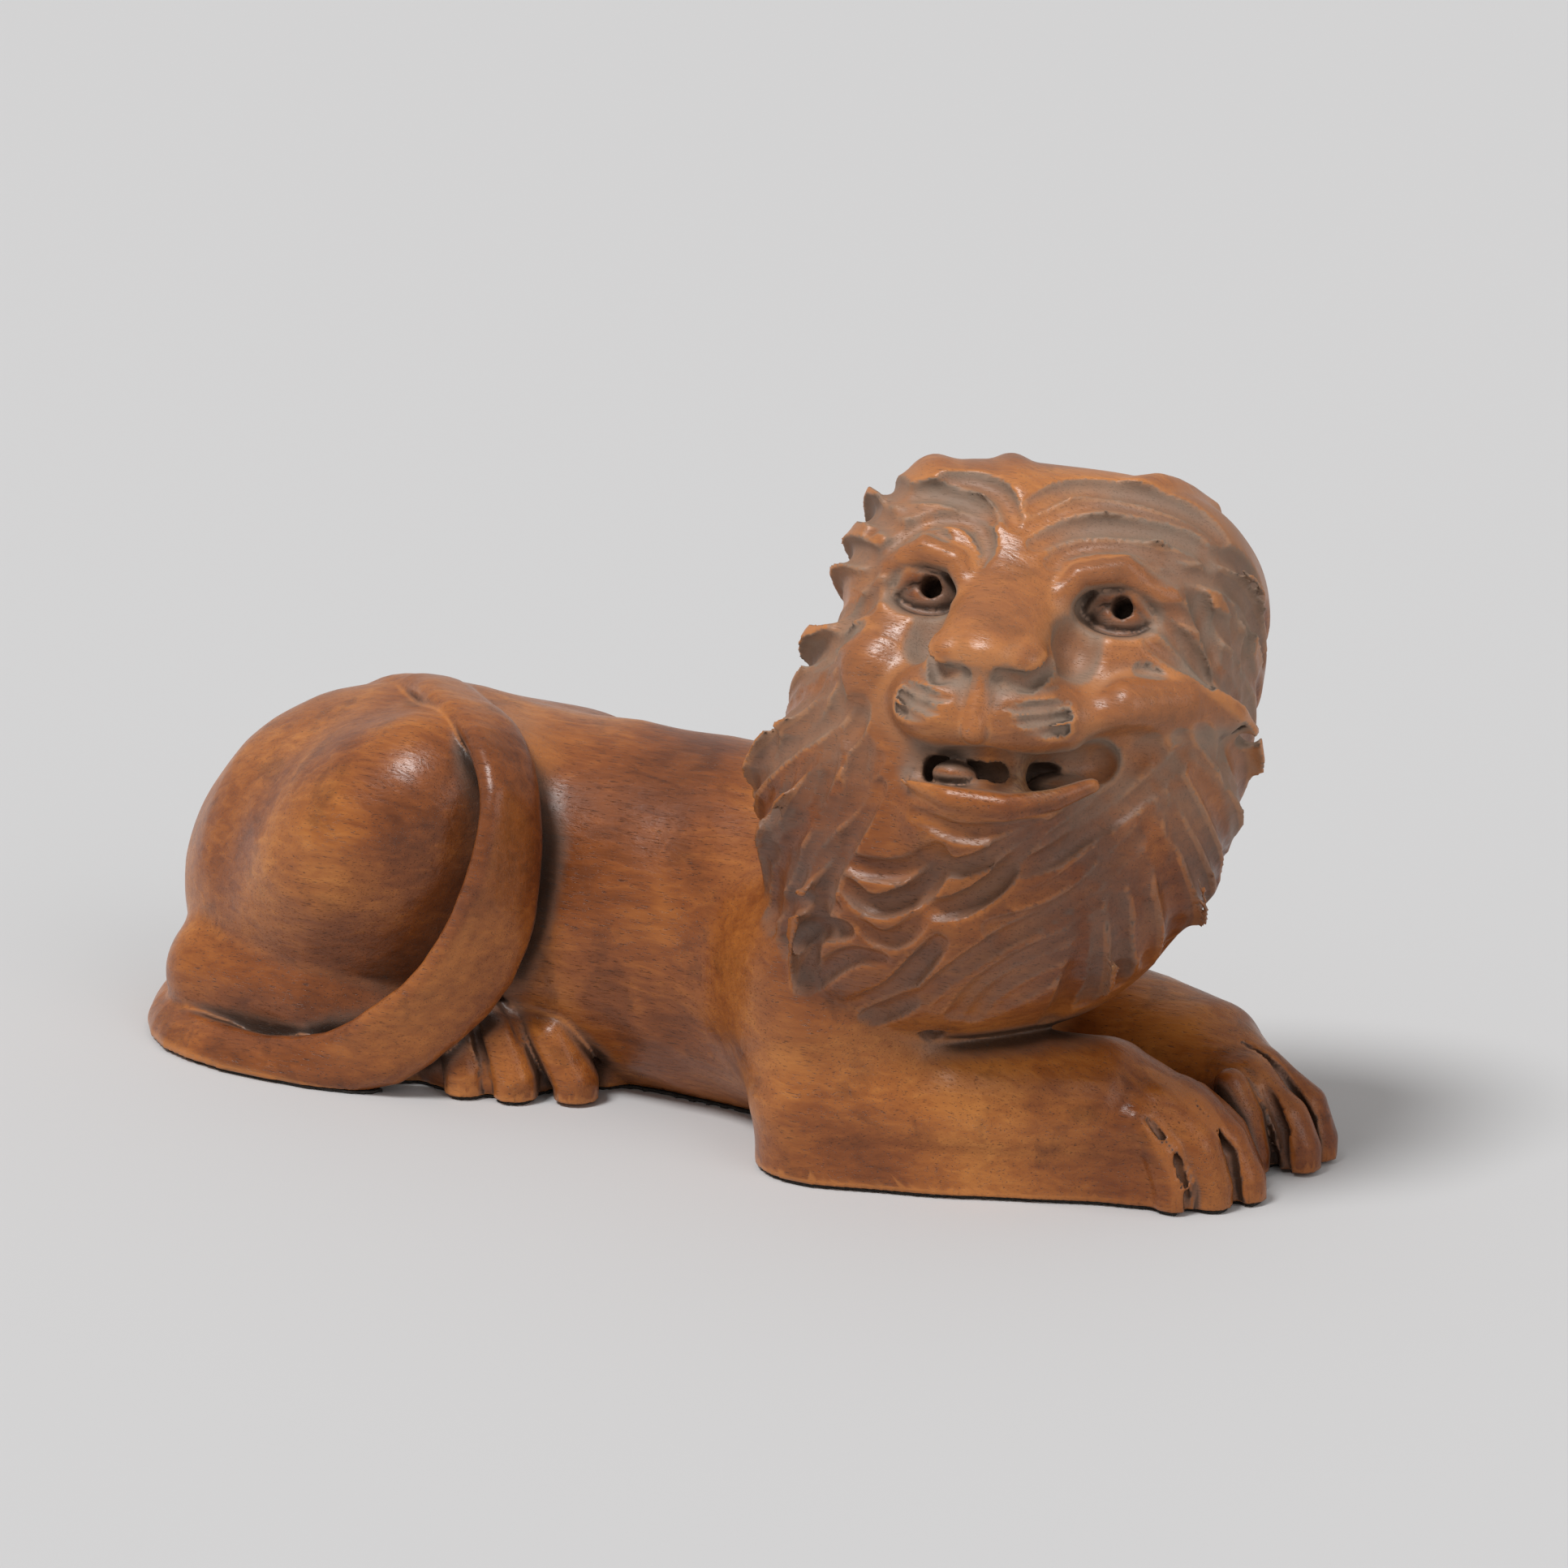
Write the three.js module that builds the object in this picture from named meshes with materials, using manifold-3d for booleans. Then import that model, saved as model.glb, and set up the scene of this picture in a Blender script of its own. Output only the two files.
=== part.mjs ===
// A recumbent lion carved in the round from one block of wood, with a thin felt glued under it.
// Millimetres. +X runs to the front paws, +Y to the lion's left and +Z up. The origin lies on the surface
// that the lion stands on, on the body's middle plane and half way along it.
// The lion is one solid. Its shape is a field: a function of a point that is negative inside the wood.
// Rounded forms are joined softly, gouge cuts are taken away, and the zero surface is meshed.
import * as THREE from "three";
import { mergeVertices } from "three/addons/utils/BufferGeometryUtils.js";
import Module from "manifold-3d";

// Driving sizes.
const carvingLength = 480;
const feltThickness = 1.2;
const feltInset = 1.5;
const feltGap = 0.3;
const gougeRadius = 5.8;
const gougeDepth = 4.4;
const pupilRadius = 3.6;
const pupilDepth = 14;
const toeRadius = 9.5;
const tailRidgeRadius = 4.2;
const tailFootRadius = 6.2;

// The forms are written as they are on a lion 480 mm long, and follow the length as shares of it.
const share = carvingLength / 480;
const of = (value) => value * share;
const at = (x, y, z) => [of(x), of(y), of(z)];

// Vectors.
const degrees = Math.PI / 180;
const dot = (a, b) => a[0] * b[0] + a[1] * b[1] + a[2] * b[2];
const plus = (a, b, t = 1) => [a[0] + b[0] * t, a[1] + b[1] * t, a[2] + b[2] * t];
const minus = (a, b) => plus(a, b, -1);
const mix = (a, b, t) => plus(a, minus(b, a), t);
const unit = (a) => plus([0, 0, 0], a, 1 / Math.hypot(...a));
const cross = (a, b) => [
  a[1] * b[2] - a[2] * b[1],
  a[2] * b[0] - a[0] * b[2],
  a[0] * b[1] - a[1] * b[0],
];
const clamp = (v, low, high) => Math.min(high, Math.max(low, v));
const worldAxes = [[1, 0, 0], [0, 1, 0], [0, 0, 1]];

// Joins and cuts that are rounded over a reach.
function softMin(a, b, reach) {
  const h = Math.max(reach - Math.abs(a - b), 0) / reach;
  return Math.min(a, b) - (h * h * reach) / 4;
}
const softMax = (a, b, reach) => -softMin(-a, -b, reach);

// An ellipsoid about a centre, with its three radii along three unit axes.
function ellipsoid(centre, [ru, rv, rw], [u, v, w] = worldAxes) {
  return (p) => {
    const d = minus(p, centre);
    const a = dot(d, u) / ru;
    const b = dot(d, v) / rv;
    const c = dot(d, w) / rw;
    const near = Math.hypot(a, b, c);
    const slope = Math.hypot(a / ru, b / rv, c / rw);
    return slope < 1e-9 ? -Math.min(ru, rv, rw) : (near * (near - 1)) / slope;
  };
}

// A string of tapered round rods through points, each with its own radius.
function strand(points, radii) {
  return (p) => {
    let nearest = Infinity;
    for (let i = 0; i + 1 < points.length; i++) {
      const along = minus(points[i + 1], points[i]);
      const d = minus(p, points[i]);
      const t = clamp(dot(d, along) / dot(along, along), 0, 1);
      const gap = Math.hypot(d[0] - along[0] * t, d[1] - along[1] * t, d[2] - along[2] * t);
      nearest = Math.min(nearest, gap - radii[i] - (radii[i + 1] - radii[i]) * t);
    }
    return nearest;
  };
}

// A smooth run of points through a few chosen ones, and the radii that go with them.
function curved(points, radii, steps) {
  const line = new THREE.CatmullRomCurve3(points.map((p) => new THREE.Vector3(...p)), false, "centripetal");
  const count = points.length - 1;
  const run = [];
  const sizes = [];
  for (let i = 0; i <= steps; i++) {
    const t = (i / steps) * count;
    const k = Math.min(Math.floor(t), count - 1);
    run.push(line.getPoint(i / steps).toArray());
    sizes.push(radii[k] + (radii[k + 1] - radii[k]) * (t - k));
  }
  return strand(run, sizes);
}

// Near the ground the walls stand upright, as a block does where it was sawn flat.
const walled = (form, top) => (p) => form([p[0], p[1], Math.max(p[2], top)]);
const nearSide = (p) => [p[0], -Math.abs(p[1]), p[2]];

// The barrel of the body: an upright oval section that changes along X.
const barrelSections = [
  // x, half width, height of the centre, half height
  [-190, 50, 50, 60],
  [-130, 62, 58, 70],
  [-60, 60, 60, 69],
  [10, 59, 60, 68],
  [60, 66, 58, 66],
  [120, 62, 56, 60],
].map((section) => section.map(of));

function barrel([x, y, z]) {
  const first = barrelSections[0];
  const last = barrelSections[barrelSections.length - 1];
  let k = 0;
  while (k < barrelSections.length - 2 && x > barrelSections[k + 1][0]) k++;
  const [a, b] = [barrelSections[k], barrelSections[k + 1]];
  const t = clamp((x - a[0]) / (b[0] - a[0]), 0, 1);
  const s = t * t * (3 - 2 * t);
  const [halfWidth, centre, halfHeight] = [1, 2, 3].map((i) => a[i] + (b[i] - a[i]) * s);
  const out = Math.hypot(y / halfWidth, (z - centre) / halfHeight) - 1;
  const section = out * Math.min(halfWidth, halfHeight);
  return softMax(section, Math.max(first[0] - x, x - last[0]), of(30));
}

// The hindquarters: the rump, and on each side a thigh over a lower leg that is folded under it.
const thighTilt = 37 * degrees;
const thighAxes = [
  [Math.cos(thighTilt), 0, Math.sin(thighTilt)],
  [0, 1, 0],
  [-Math.sin(thighTilt), 0, Math.cos(thighTilt)],
];
const rump = ellipsoid(at(-142, -4, 50), at(92, 72, 78));
const rightThigh = ellipsoid(at(-112, -48, 86), at(62, 44, 42), thighAxes);
const leftThigh = ellipsoid(at(-116, 46, 68), at(60, 42, 42), thighAxes);
const lowerLegLine = [at(-186, -48, 22), at(-130, -56, 24), at(-104, -54, 20)];
const lowerLeg = walled(strand(lowerLegLine, [30, 28, 22].map(of)), of(16));

function hindquarters(p) {
  const back = softMin(barrel(p), rump(p), of(24));
  const thighs = softMin(softMin(back, rightThigh(p), of(20)), leftThigh(p), of(20));
  return softMin(thighs, lowerLeg(nearSide(p)), of(5));
}

// Toes run from the knuckle over the joint to the tip and stand on the ground.
const toeShares = [0.85, 1, 0.95, 0.9];
function toe(points, radius) {
  const tip = points[points.length - 1];
  return strand([...points, plus(tip, [0, 0, -1], of(20))], toeShares.map((r) => r * radius));
}
const joined = (forms) => (p) => Math.min(...forms.map((form) => form(p)));
const hindPaw = joined([
  ellipsoid(at(-72, -46, 12), at(36, 27, 26)),
  toe([at(-84, -52, 30), at(-72, -63, 22), at(-66, -68, 8)], toeRadius),
  toe([at(-74, -50, 32), at(-55, -60, 21), at(-47, -63, 8)], toeRadius),
  toe([at(-66, -44, 32), at(-38, -52, 22), at(-28, -53, 8)], toeRadius),
  toe([at(-58, -34, 28), at(-38, -33, 18), at(-30, -31, 8)], toeRadius * 0.9),
]);

// The forelegs converge from the elbows to the paws, which almost touch.
const foreleg = (points) => walled(strand(points, [29, 29, 26, 21].map(of)), of(17));
const rightForeleg = foreleg([at(88, -60, 20), at(132, -46, 26), at(174, -30, 27), at(200, -24, 20)]);
const leftForeleg = foreleg([at(80, 62, 20), at(135, 52, 24), at(176, 40, 24), at(200, 27, 19)]);
const shoulder = ellipsoid(at(88, -50, 58), at(42, 38, 58));
const rightPaw = joined([
  toe([at(196, -42, 30), at(206, -41, 20), at(210, -40, 8)], toeRadius * 0.85),
  toe([at(200, -33, 34), at(214, -32, 21), at(219, -31, 8)], toeRadius * 0.9),
  toe([at(202, -20, 34), at(218, -19, 20), at(225, -18, 8)], toeRadius * 0.9),
  toe([at(200, -8, 30), at(213, -7, 19), at(219, -7, 8)], toeRadius * 0.8),
]);
const leftPaw = joined([
  toe([at(206, 7, 31), at(211, 8, 20), at(214, 8, 8)], toeRadius * 0.8),
  toe([at(206, 20, 31), at(221, 20, 19), at(227, 20, 8)], toeRadius * 0.9),
  toe([at(206, 33, 31), at(221, 34, 19), at(226, 34, 8)], toeRadius * 0.9),
  toe([at(202, 45, 26), at(213, 45, 18), at(218, 45, 8)], toeRadius * 0.8),
]);

// The tail comes round the rump along the ground, climbs in front of the thigh and lies over the back.
// Its section is a wedge: a ridge on the side of the thigh and a broad face that slopes away from it.
const ridgeLine = [
  at(-226, 28, 50),
  at(-233, 8, 30),
  at(-228, -26, 13),
  at(-212, -58, 10),
  at(-188, -76, 10),
  at(-160, -85, 10),
  at(-128, -88, 12),
  at(-99, -89, 25),
  at(-75, -89, 43),
  at(-60, -87, 62),
  at(-49, -85, 84),
  at(-46, -80, 103),
  at(-48, -74, 117),
  at(-58, -66, 128),
  at(-76, -52, 134),
  at(-102, -34, 136),
  at(-132, -10, 133),
  at(-160, 8, 125),
  at(-184, 16, 112),
];
const footLine = [
  at(-228, 28, 44),
  at(-236, 6, 24),
  at(-229, -32, 4),
  at(-214, -62, 1),
  at(-190, -82, 0),
  at(-158, -90, 0),
  at(-120, -88, 2),
  at(-88, -82, 10),
  at(-66, -76, 28),
  at(-50, -68, 48),
  at(-42, -66, 72),
  at(-41, -64, 92),
  at(-44, -60, 108),
  at(-52, -52, 120),
  at(-66, -42, 128),
  at(-92, -22, 130),
  at(-124, 4, 127),
  at(-156, 20, 118),
  at(-182, 28, 104),
];
const railShares = [0, 0.25, 0.5, 0.75, 1];
const tailRails = railShares.map((part) => {
  const line = ridgeLine.map((p, i) => mix(p, footLine[i], part));
  const radius = tailRidgeRadius + (tailFootRadius - tailRidgeRadius) * part;
  return curved(line, line.map(() => radius), 36);
});
const tail = (p) => tailRails.map((rail) => rail(p)).reduce((a, b) => softMin(a, b, of(7)));

// The head turns to the lion's right, lifts its chin and leans a little.
const headTurn = -72 * degrees;
const headLift = 22 * degrees;
const headLean = 4 * degrees;
const faceOrigin = at(160.7, -69.4, 208.3);
const ahead = [
  Math.cos(headLift) * Math.cos(headTurn),
  Math.cos(headLift) * Math.sin(headTurn),
  Math.sin(headLift),
];
const level = [-Math.sin(headTurn), Math.cos(headTurn), 0];
const upright = cross(ahead, level);
const across = plus(plus([0, 0, 0], level, Math.cos(headLean)), upright, -Math.sin(headLean));
const upward = plus(plus([0, 0, 0], upright, Math.cos(headLean)), level, Math.sin(headLean));
const headAxes = [across, upward, ahead];

// The head's own frame: across to the lion's left, up and ahead from the bridge of the nose.
const inHead = (p) => {
  const d = minus(p, faceOrigin);
  return headAxes.map((axis) => dot(d, axis));
};
const fromHead = (q) => headAxes.reduce((sum, axis, i) => plus(sum, axis, q[i]), faceOrigin);

// A block with rounded corners about a centre: an ellipsoid of a higher power.
function roundedBlock(centre, [ru, rv, rw], power, [u, v, w] = worldAxes) {
  return (q) => {
    const d = minus(q, centre);
    const parts = [dot(d, u) / ru, dot(d, v) / rv, dot(d, w) / rw];
    const near = parts.reduce((sum, part) => sum + Math.abs(part) ** power, 0) ** (1 / power);
    return (near - 1) * Math.min(ru, rv, rw);
  };
}

// The mane before it is cut: the mass round the skull and jaw, the ruff, and the mass over the chest.
const crown = roundedBlock(at(3.5, -5, -52), at(71.5, 59, 56), 3.2);
const ruff = ellipsoid(at(-6, -62, -46), at(82, 62, 46));
const skull = ellipsoid(at(2, -20, -46), at(58, 58, 52));
const chest = ellipsoid(at(126, -24, 114), at(74, 66, 66));
const bib = ellipsoid(at(108, -50, 88), at(44, 40, 36));
const lowerJaw = ellipsoid(at(4, -68, -6), at(30, 13, 20));
const chin = ellipsoid(at(2, -76, -8), at(24, 12, 18));
function maneMass(p) {
  const q = inHead(p);
  const skullAndRuff = softMin(softMin(crown(q), skull(q), of(10)), ruff(q), of(24));
  const head = softMin(softMin(skullAndRuff, lowerJaw(q), of(8)), chin(q), of(10));
  return softMin(softMin(head, chest(p), of(24)), bib(p), of(20));
}

// Cuts are laid out as they are seen from before the lion's face, each over three points: across and up.
const gaze = unit([0.26, -0.11, 0.96]);
const cutFamilies = [
  // name, count, start line, middle line, end line
  ["over the right eye", 3, [[-11, 10], [-3, 26]], [[-26, 28], [-14, 40]], [[-44, 11], [-28, 38]]],
  ["over the left eye", 3, [[11, 14], [2, 33]], [[35, 26], [33, 45]], [[59, 10], [68, 30]]],
  ["left temple", 2, [[60, 12], [77, 12]], [[68, 0], [83, 2]], [[75, -13], [84, -11]]],
  ["left of the eye", 1, [[48, 2], [48, -7]], [[64, -9], [64, -15]], [[77, -31], [77, -36]]],
  ["left fold", 2, [[42, -41], [53, -38]], [[38, -60], [44, -59]], [[21, -75], [25, -77]]],
  ["left beard", 4, [[68, -40], [59, -76]], [[44, -66], [41, -97]], [[18, -86], [13, -113]]],
  ["lower beard", 4, [[59, -71], [45, -116]], [[33, -100], [24, -126]], [[-6, -134], [17, -136]]],
  ["under the lip", 3, [[18, -71], [24, -72]], [[0, -77], [10, -92]], [[-21, -73], [-11, -104]]],
  ["right beard", 4, [[-11, -83], [-5, -114]], [[-24, -94], [-14, -130]], [[-45, -90], [-28, -140]]],
  ["right fan", 5, [[-42, -107], [1, -146]], [[-57, -110], [-18, -154]], [[-66, -121], [-39, -153]]],
  ["right cheek", 3, [[-40, -53], [-64, -59]], [[-42, -65], [-68, -70]], [[-48, -76], [-69, -82]]],
  ["right temple", 4, [[-42, 15], [-52, -28]], [[-49, 6], [-51, -38]], [[-55, -1], [-55, -47]]],
  ["right shoulder", 2, [[-66, -92], [-76, -84]], [[-74, -103], [-81, -96]], [[-79, -113], [-85, -106]]],
];
const cutSteps = 12;
const longestStep = of(12);

// Where the mane's surface is met on the way in from before the face, or nothing where the way misses it.
function onMane([l, u]) {
  let near = of(160);
  const spot = (t) => fromHead(plus(at(l, u, 0), gaze, t));
  while (maneMass(spot(near)) > 0 && near > -of(160)) near -= of(2);
  if (near <= -of(160)) return null;
  let far = near + of(2);
  for (let i = 0; i < 8; i++) {
    const middle = (near + far) / 2;
    if (maneMass(spot(middle)) < 0) near = middle;
    else far = middle;
  }
  return spot(near);
}
function slopeOf(form, p) {
  const step = of(0.5);
  return unit(worldAxes.map((axis) => form(plus(p, axis, step)) - form(plus(p, axis, -step))));
}
// A cut is a round gouge run along the surface: shallow at its ends and deepest in the middle.
function gougeCut(surfacePoints, radius, depth) {
  const centres = surfacePoints.map((spot, i) => {
    const t = i / (surfacePoints.length - 1);
    const sink = depth * Math.sin(Math.PI * (0.1 + 0.8 * t)) ** 0.6;
    return plus(spot, slopeOf(maneMass, spot), radius - sink);
  });
  const middle = centres[Math.floor(centres.length / 2)];
  const reach = Math.max(...centres.map((c) => Math.hypot(...minus(c, middle)))) + radius * 1.5;
  return { cut: strand(centres, centres.map(() => radius)), middle, reach };
}
function bowed(start, middle, end, t) {
  const pull = minus(plus(middle, middle), mix(start, end, 0.5));
  return mix(mix(start, pull, t), mix(pull, end, t), t);
}
const flat = ([l, u]) => [l, u, 0];
const cuts = [];
// A run of spots is cut as far as it goes on without a miss or a jump.
function addCut(met) {
  const distance = (k) => Math.hypot(...minus(met[k], met[k - 1]));
  const broken = met.findIndex((spot, k) => !spot || (k > 0 && distance(k) > longestStep));
  const run = broken < 0 ? met : met.slice(0, broken);
  if (run.length > 2) cuts.push(gougeCut(run, gougeRadius, gougeDepth));
}
const parts = (count) => Array.from({ length: count + 1 }, (_, k) => k / count);
for (const [, count, start, middle, end] of cutFamilies)
  for (let i = 0; i < count; i++) {
    const [a, b, c] = [start, middle, end].map(([from, to]) => mix(flat(from), flat(to), (i + 0.5) / count));
    addCut(parts(cutSteps).map((t) => onMane(bowed(a, b, c, t))));
  }

// Places on the mane by their angles at the neck: the turn away from the face, and the clock round it.
const neckInside = fromHead(at(2, -30, -50));
function outward(turn, clock, lift = 0) {
  const [t, c] = [turn * degrees, clock * degrees];
  const way = [Math.sin(t) * Math.sin(c), Math.sin(t) * Math.cos(c), Math.cos(t)];
  const line = headAxes.reduce((sum, axis, i) => plus(sum, axis, way[i]), [0, 0, 0]);
  let far = of(10);
  while (maneMass(plus(neckInside, line, far)) < 0 && far < of(200)) far += of(1);
  return plus(neckInside, line, far + lift);
}

// Cuts that sweep out and down from both sides of the face.
for (const [side, first, last, count, swing] of [[1, 34, 138, 11, 24], [-1, 30, 134, 10, 14]])
  for (let i = 0; i < count; i++) {
    const clock = first + ((last - first) * i) / (count - 1);
    addCut(parts(12).map((t) => outward(46 + 50 * t, side * (clock + swing * t ** 0.7))));
  }

// Locks whose tips stand out along the rim, swept down from the parting, with a cut beside each.
const tuftCount = 15;
const tufts = Array.from({ length: tuftCount }, (_, i) => {
  const clock = -144 + (288 * (i + 0.5 + 0.3 * Math.sin(i * 5.1))) / tuftCount;
  const sweep = clock > 20 ? 22 : 12 * Math.sign(clock);
  const size = (1 + 0.22 * Math.sin(i * 2.4)) * (Math.abs(clock) < 50 ? 0.72 : 1);
  const lift = (t) => of((8.5 * t ** 1.5 - 6.5) * size);
  const swell = (t) => of((t < 0.45 ? 3 + 10 * t : 7.5 - 10 * (t - 0.45)) * size);
  const run = parts(6).map((t) => outward(58 + 36 * t, clock + sweep * t, lift(t)));
  if (run[3][2] > of(60)) addCut(parts(12).map((t) => outward(56 + 50 * t, clock + 9.5 + sweep * t)));
  return strand(run, parts(6).map(swell));
});

// The back and the far side of the mane: rings of plainer cuts that sweep back from the crown.
for (const [ring, turn] of [108, 126, 144, 162].entries()) {
  const count = Math.round(22 * Math.sin(turn * degrees));
  for (let i = 0; i < count; i++) {
    const clock = ((i + (ring % 2) / 2) / count) * 360;
    const run = [-12, -6, 0, 6, 12].map((swing) => outward(turn + swing, clock + swing * 0.5));
    if (run[2][2] > of(60)) addCut(run);
  }
}

function cutMane(p) {
  let d = maneMass(p);
  if (Math.abs(d) > of(30)) return d;
  for (const tuft of tufts) d = softMin(d, tuft(p), of(5));
  for (const { cut, middle, reach } of cuts) {
    const [x, y, z] = minus(p, middle);
    if (x * x + y * y + z * z > reach * reach) continue;
    d = Math.max(d, -cut(p));
  }
  return d;
}

// The face. Forms that are joined, forms that are hollowed out, and forms set into the hollows.
const stretched = (form, wide) => (q) => form([q[0] / wide, q[1], q[2]]);
const faceStrand = (points, radii) => strand(points.map((p) => at(...p)), radii.map(of));
const bridge = stretched(
  faceStrand([[0, 38, -24], [0, 18, -9], [0, 3, -1], [0, -9, 8], [0, -17, 15]], [8.5, 9.5, 11, 11.5, 11.5]),
  1.6,
);
const noseTilt = 18 * degrees;
const noseAxes = [
  [1, 0, 0],
  [0, Math.cos(noseTilt), Math.sin(noseTilt)],
  [0, -Math.sin(noseTilt), Math.cos(noseTilt)],
];
const nose = roundedBlock(at(0, -19.5, 15), at(15, 10, 15.5), 2.2, noseAxes);
const noseWings = [-13, 13].map((l) => ellipsoid(at(l, -22, 17), at(8, 7.5, 10)));
const muzzle = ellipsoid(at(0, -36, 2), at(35, 18, 22));
const upperLip = roundedBlock(at(0, -38, 8), at(22, 12, 16), 2.6, noseAxes);
const lipPads = [-13.5, 13.5].map((l) => ellipsoid(at(l, -39, 10), at(17, 11.5, 15)));
const lowerLip = faceStrand(
  [[-22, -62, 8], [-6, -67.5, 14], [12, -68, 14], [27, -63, 10], [37, -56, 4]],
  [3, 4.2, 4.2, 3.6, 2.6],
);
const leftCheek = faceStrand([[31, -37, 3], [44, -30, 3], [58, -25, -8], [70, -25, -24]], [7, 9.5, 9, 6]);
const rightCheek = ellipsoid(at(-41, -26, -8), at(14, 15, 14));
const browRadii = [3.5, 4, 4.2, 4, 3];
const brows = [
  faceStrand([[-13, 2, 4], [-19, 11, 4], [-31, 14.5, 1], [-43, 8, -7], [-49, -2, -15]], browRadii),
  faceStrand([[15, 1, 4], [22, 11, 4], [36, 15.5, 1], [50, 8, -7], [57, -5, -17]], browRadii),
];
const eyePlaces = [[-29, 1], [35, 2]];
const sockets = eyePlaces.map(([l, u]) => ellipsoid(at(l, u - 0.5, 0), at(14, 8, 10)));
const eyeballs = eyePlaces.map(([l, u]) => ellipsoid(at(l, u - 1, -12), at(12, 7.5, 10)));
const lids = eyePlaces.map(([l, u]) => {
  const line = [[l - 13, u - 3, -8], [l - 6, u + 4.6, -2.5], [l + 4, u + 5, -2.5], [l + 14, u - 4, -9]];
  return faceStrand(line, [2, 2.6, 2.6, 2]);
});
const pupils = eyePlaces.map(([l, u]) => {
  const [x, y, z] = at(l + 1, u + 1.5, 0);
  return strand([[x, y, of(6)], [x, y, -pupilDepth - of(2)]], [pupilRadius, pupilRadius]);
});
const mouth = [
  faceStrand(
    [[-21, -60, 8], [-8, -57.5, 13], [4, -56, 14], [18, -55.5, 8], [36, -48, -4]],
    [4, 6.5, 7, 7.4, 6.5],
  ),
  faceStrand([[-13, -58, 2], [2, -57, 0], [20, -56, -4]], [6, 7, 6]),
];
const mouthFillings = [
  ellipsoid(at(-8, -59, 5), at(7.5, 4.6, 7)),
  ellipsoid(at(25, -59, -8), at(12, 7, 7)),
  faceStrand([[11, -48, 5], [12, -56, 3], [13, -64, 5]], [3.6, 2.4, 3.6]),
];
const hollows = [
  ellipsoid(at(25, -13, 6), at(7, 9, 6)),
  ellipsoid(at(-24, -14, 6), at(6, 9, 5)),
  ellipsoid(at(52, -45, 4), at(19, 8, 9)),
];
const nostrils = [
  faceStrand([[20.5, -11, 16], [21, -21, 18], [15, -28.5, 23], [6, -28, 27]], [1.6, 2.8, 3, 2]),
  faceStrand([[-19.5, -12, 16], [-20.5, -22, 18], [-15, -29.5, 23], [-7, -29, 27]], [1.6, 2.8, 3, 2]),
];

function faceForms(q) {
  let d = softMin(bridge(q), muzzle(q), of(8));
  d = softMin(d, upperLip(q), of(4));
  for (const form of [nose, ...noseWings, ...lipPads]) d = softMin(d, form(q), of(3));
  for (const form of [leftCheek, rightCheek]) d = softMin(d, form(q), of(8));
  return d;
}

const formBottom = of(-4);
function lion(p) {
  return Math.max(carving(p), formBottom - p[2]);
}
function carving(p) {
  let d = hindquarters(p);
  d = softMin(d, shoulder(nearSide(p)), of(20));
  d = softMin(d, rightForeleg(p), of(12));
  d = softMin(d, leftForeleg(p), of(12));
  d = softMin(d, hindPaw(nearSide(p)), of(3));
  d = softMin(d, rightPaw(p), of(2.5));
  d = softMin(d, leftPaw(p), of(2.5));
  d = softMin(d, tail(p), of(2.5));
  const hair = cutMane(p);
  const q = inHead(p);
  if (q[2] < of(-60) || q[1] < of(-110)) return softMin(d, hair, of(3));
  let front = softMin(hair, faceForms(q), of(6));
  for (const form of sockets) front = softMax(front, -form(q), of(4));
  for (const form of [...eyeballs, ...lids]) front = softMin(front, form(q), of(0.8));
  for (const form of [...brows, lowerLip]) front = softMin(front, form(q), of(3));
  for (const form of mouth) front = softMax(front, -form(q), of(1.2));
  for (const form of mouthFillings) front = softMin(front, form(q), of(1));
  for (const form of pupils) front = Math.max(front, -form(q));
  for (const form of hollows) front = softMax(front, -form(q), of(5));
  for (const form of nostrils) front = softMax(front, -form(q), of(1));
  return softMin(d, front, of(3));
}

// The field is sampled on a grid whose steps are short round the head and longer over the smooth body.
function gridLine(stops) {
  const line = [stops[0][0]];
  for (let i = 0; i + 1 < stops.length; i++) {
    const [from, step] = stops[i];
    const to = stops[i + 1][0];
    const count = Math.max(1, Math.round((to - from) / step));
    for (let k = 1; k <= count; k++) line.push(from + ((to - from) * k) / count);
  }
  return line.map(of);
}
const cell = 1;
const lionTriangles = 8400;
const gridX = gridLine([[-262, 7 * cell], [60, 5 * cell], [90, 4 * cell], [250, 4 * cell]]);
const gridY = gridLine([[-128, 4 * cell], [-40, 5 * cell], [20, 7 * cell], [116, 7 * cell]]);
const gridZ = gridLine([[-8.5, 5 * cell], [60, 5 * cell], [140, 4 * cell], [260, 4 * cell]]);

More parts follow.
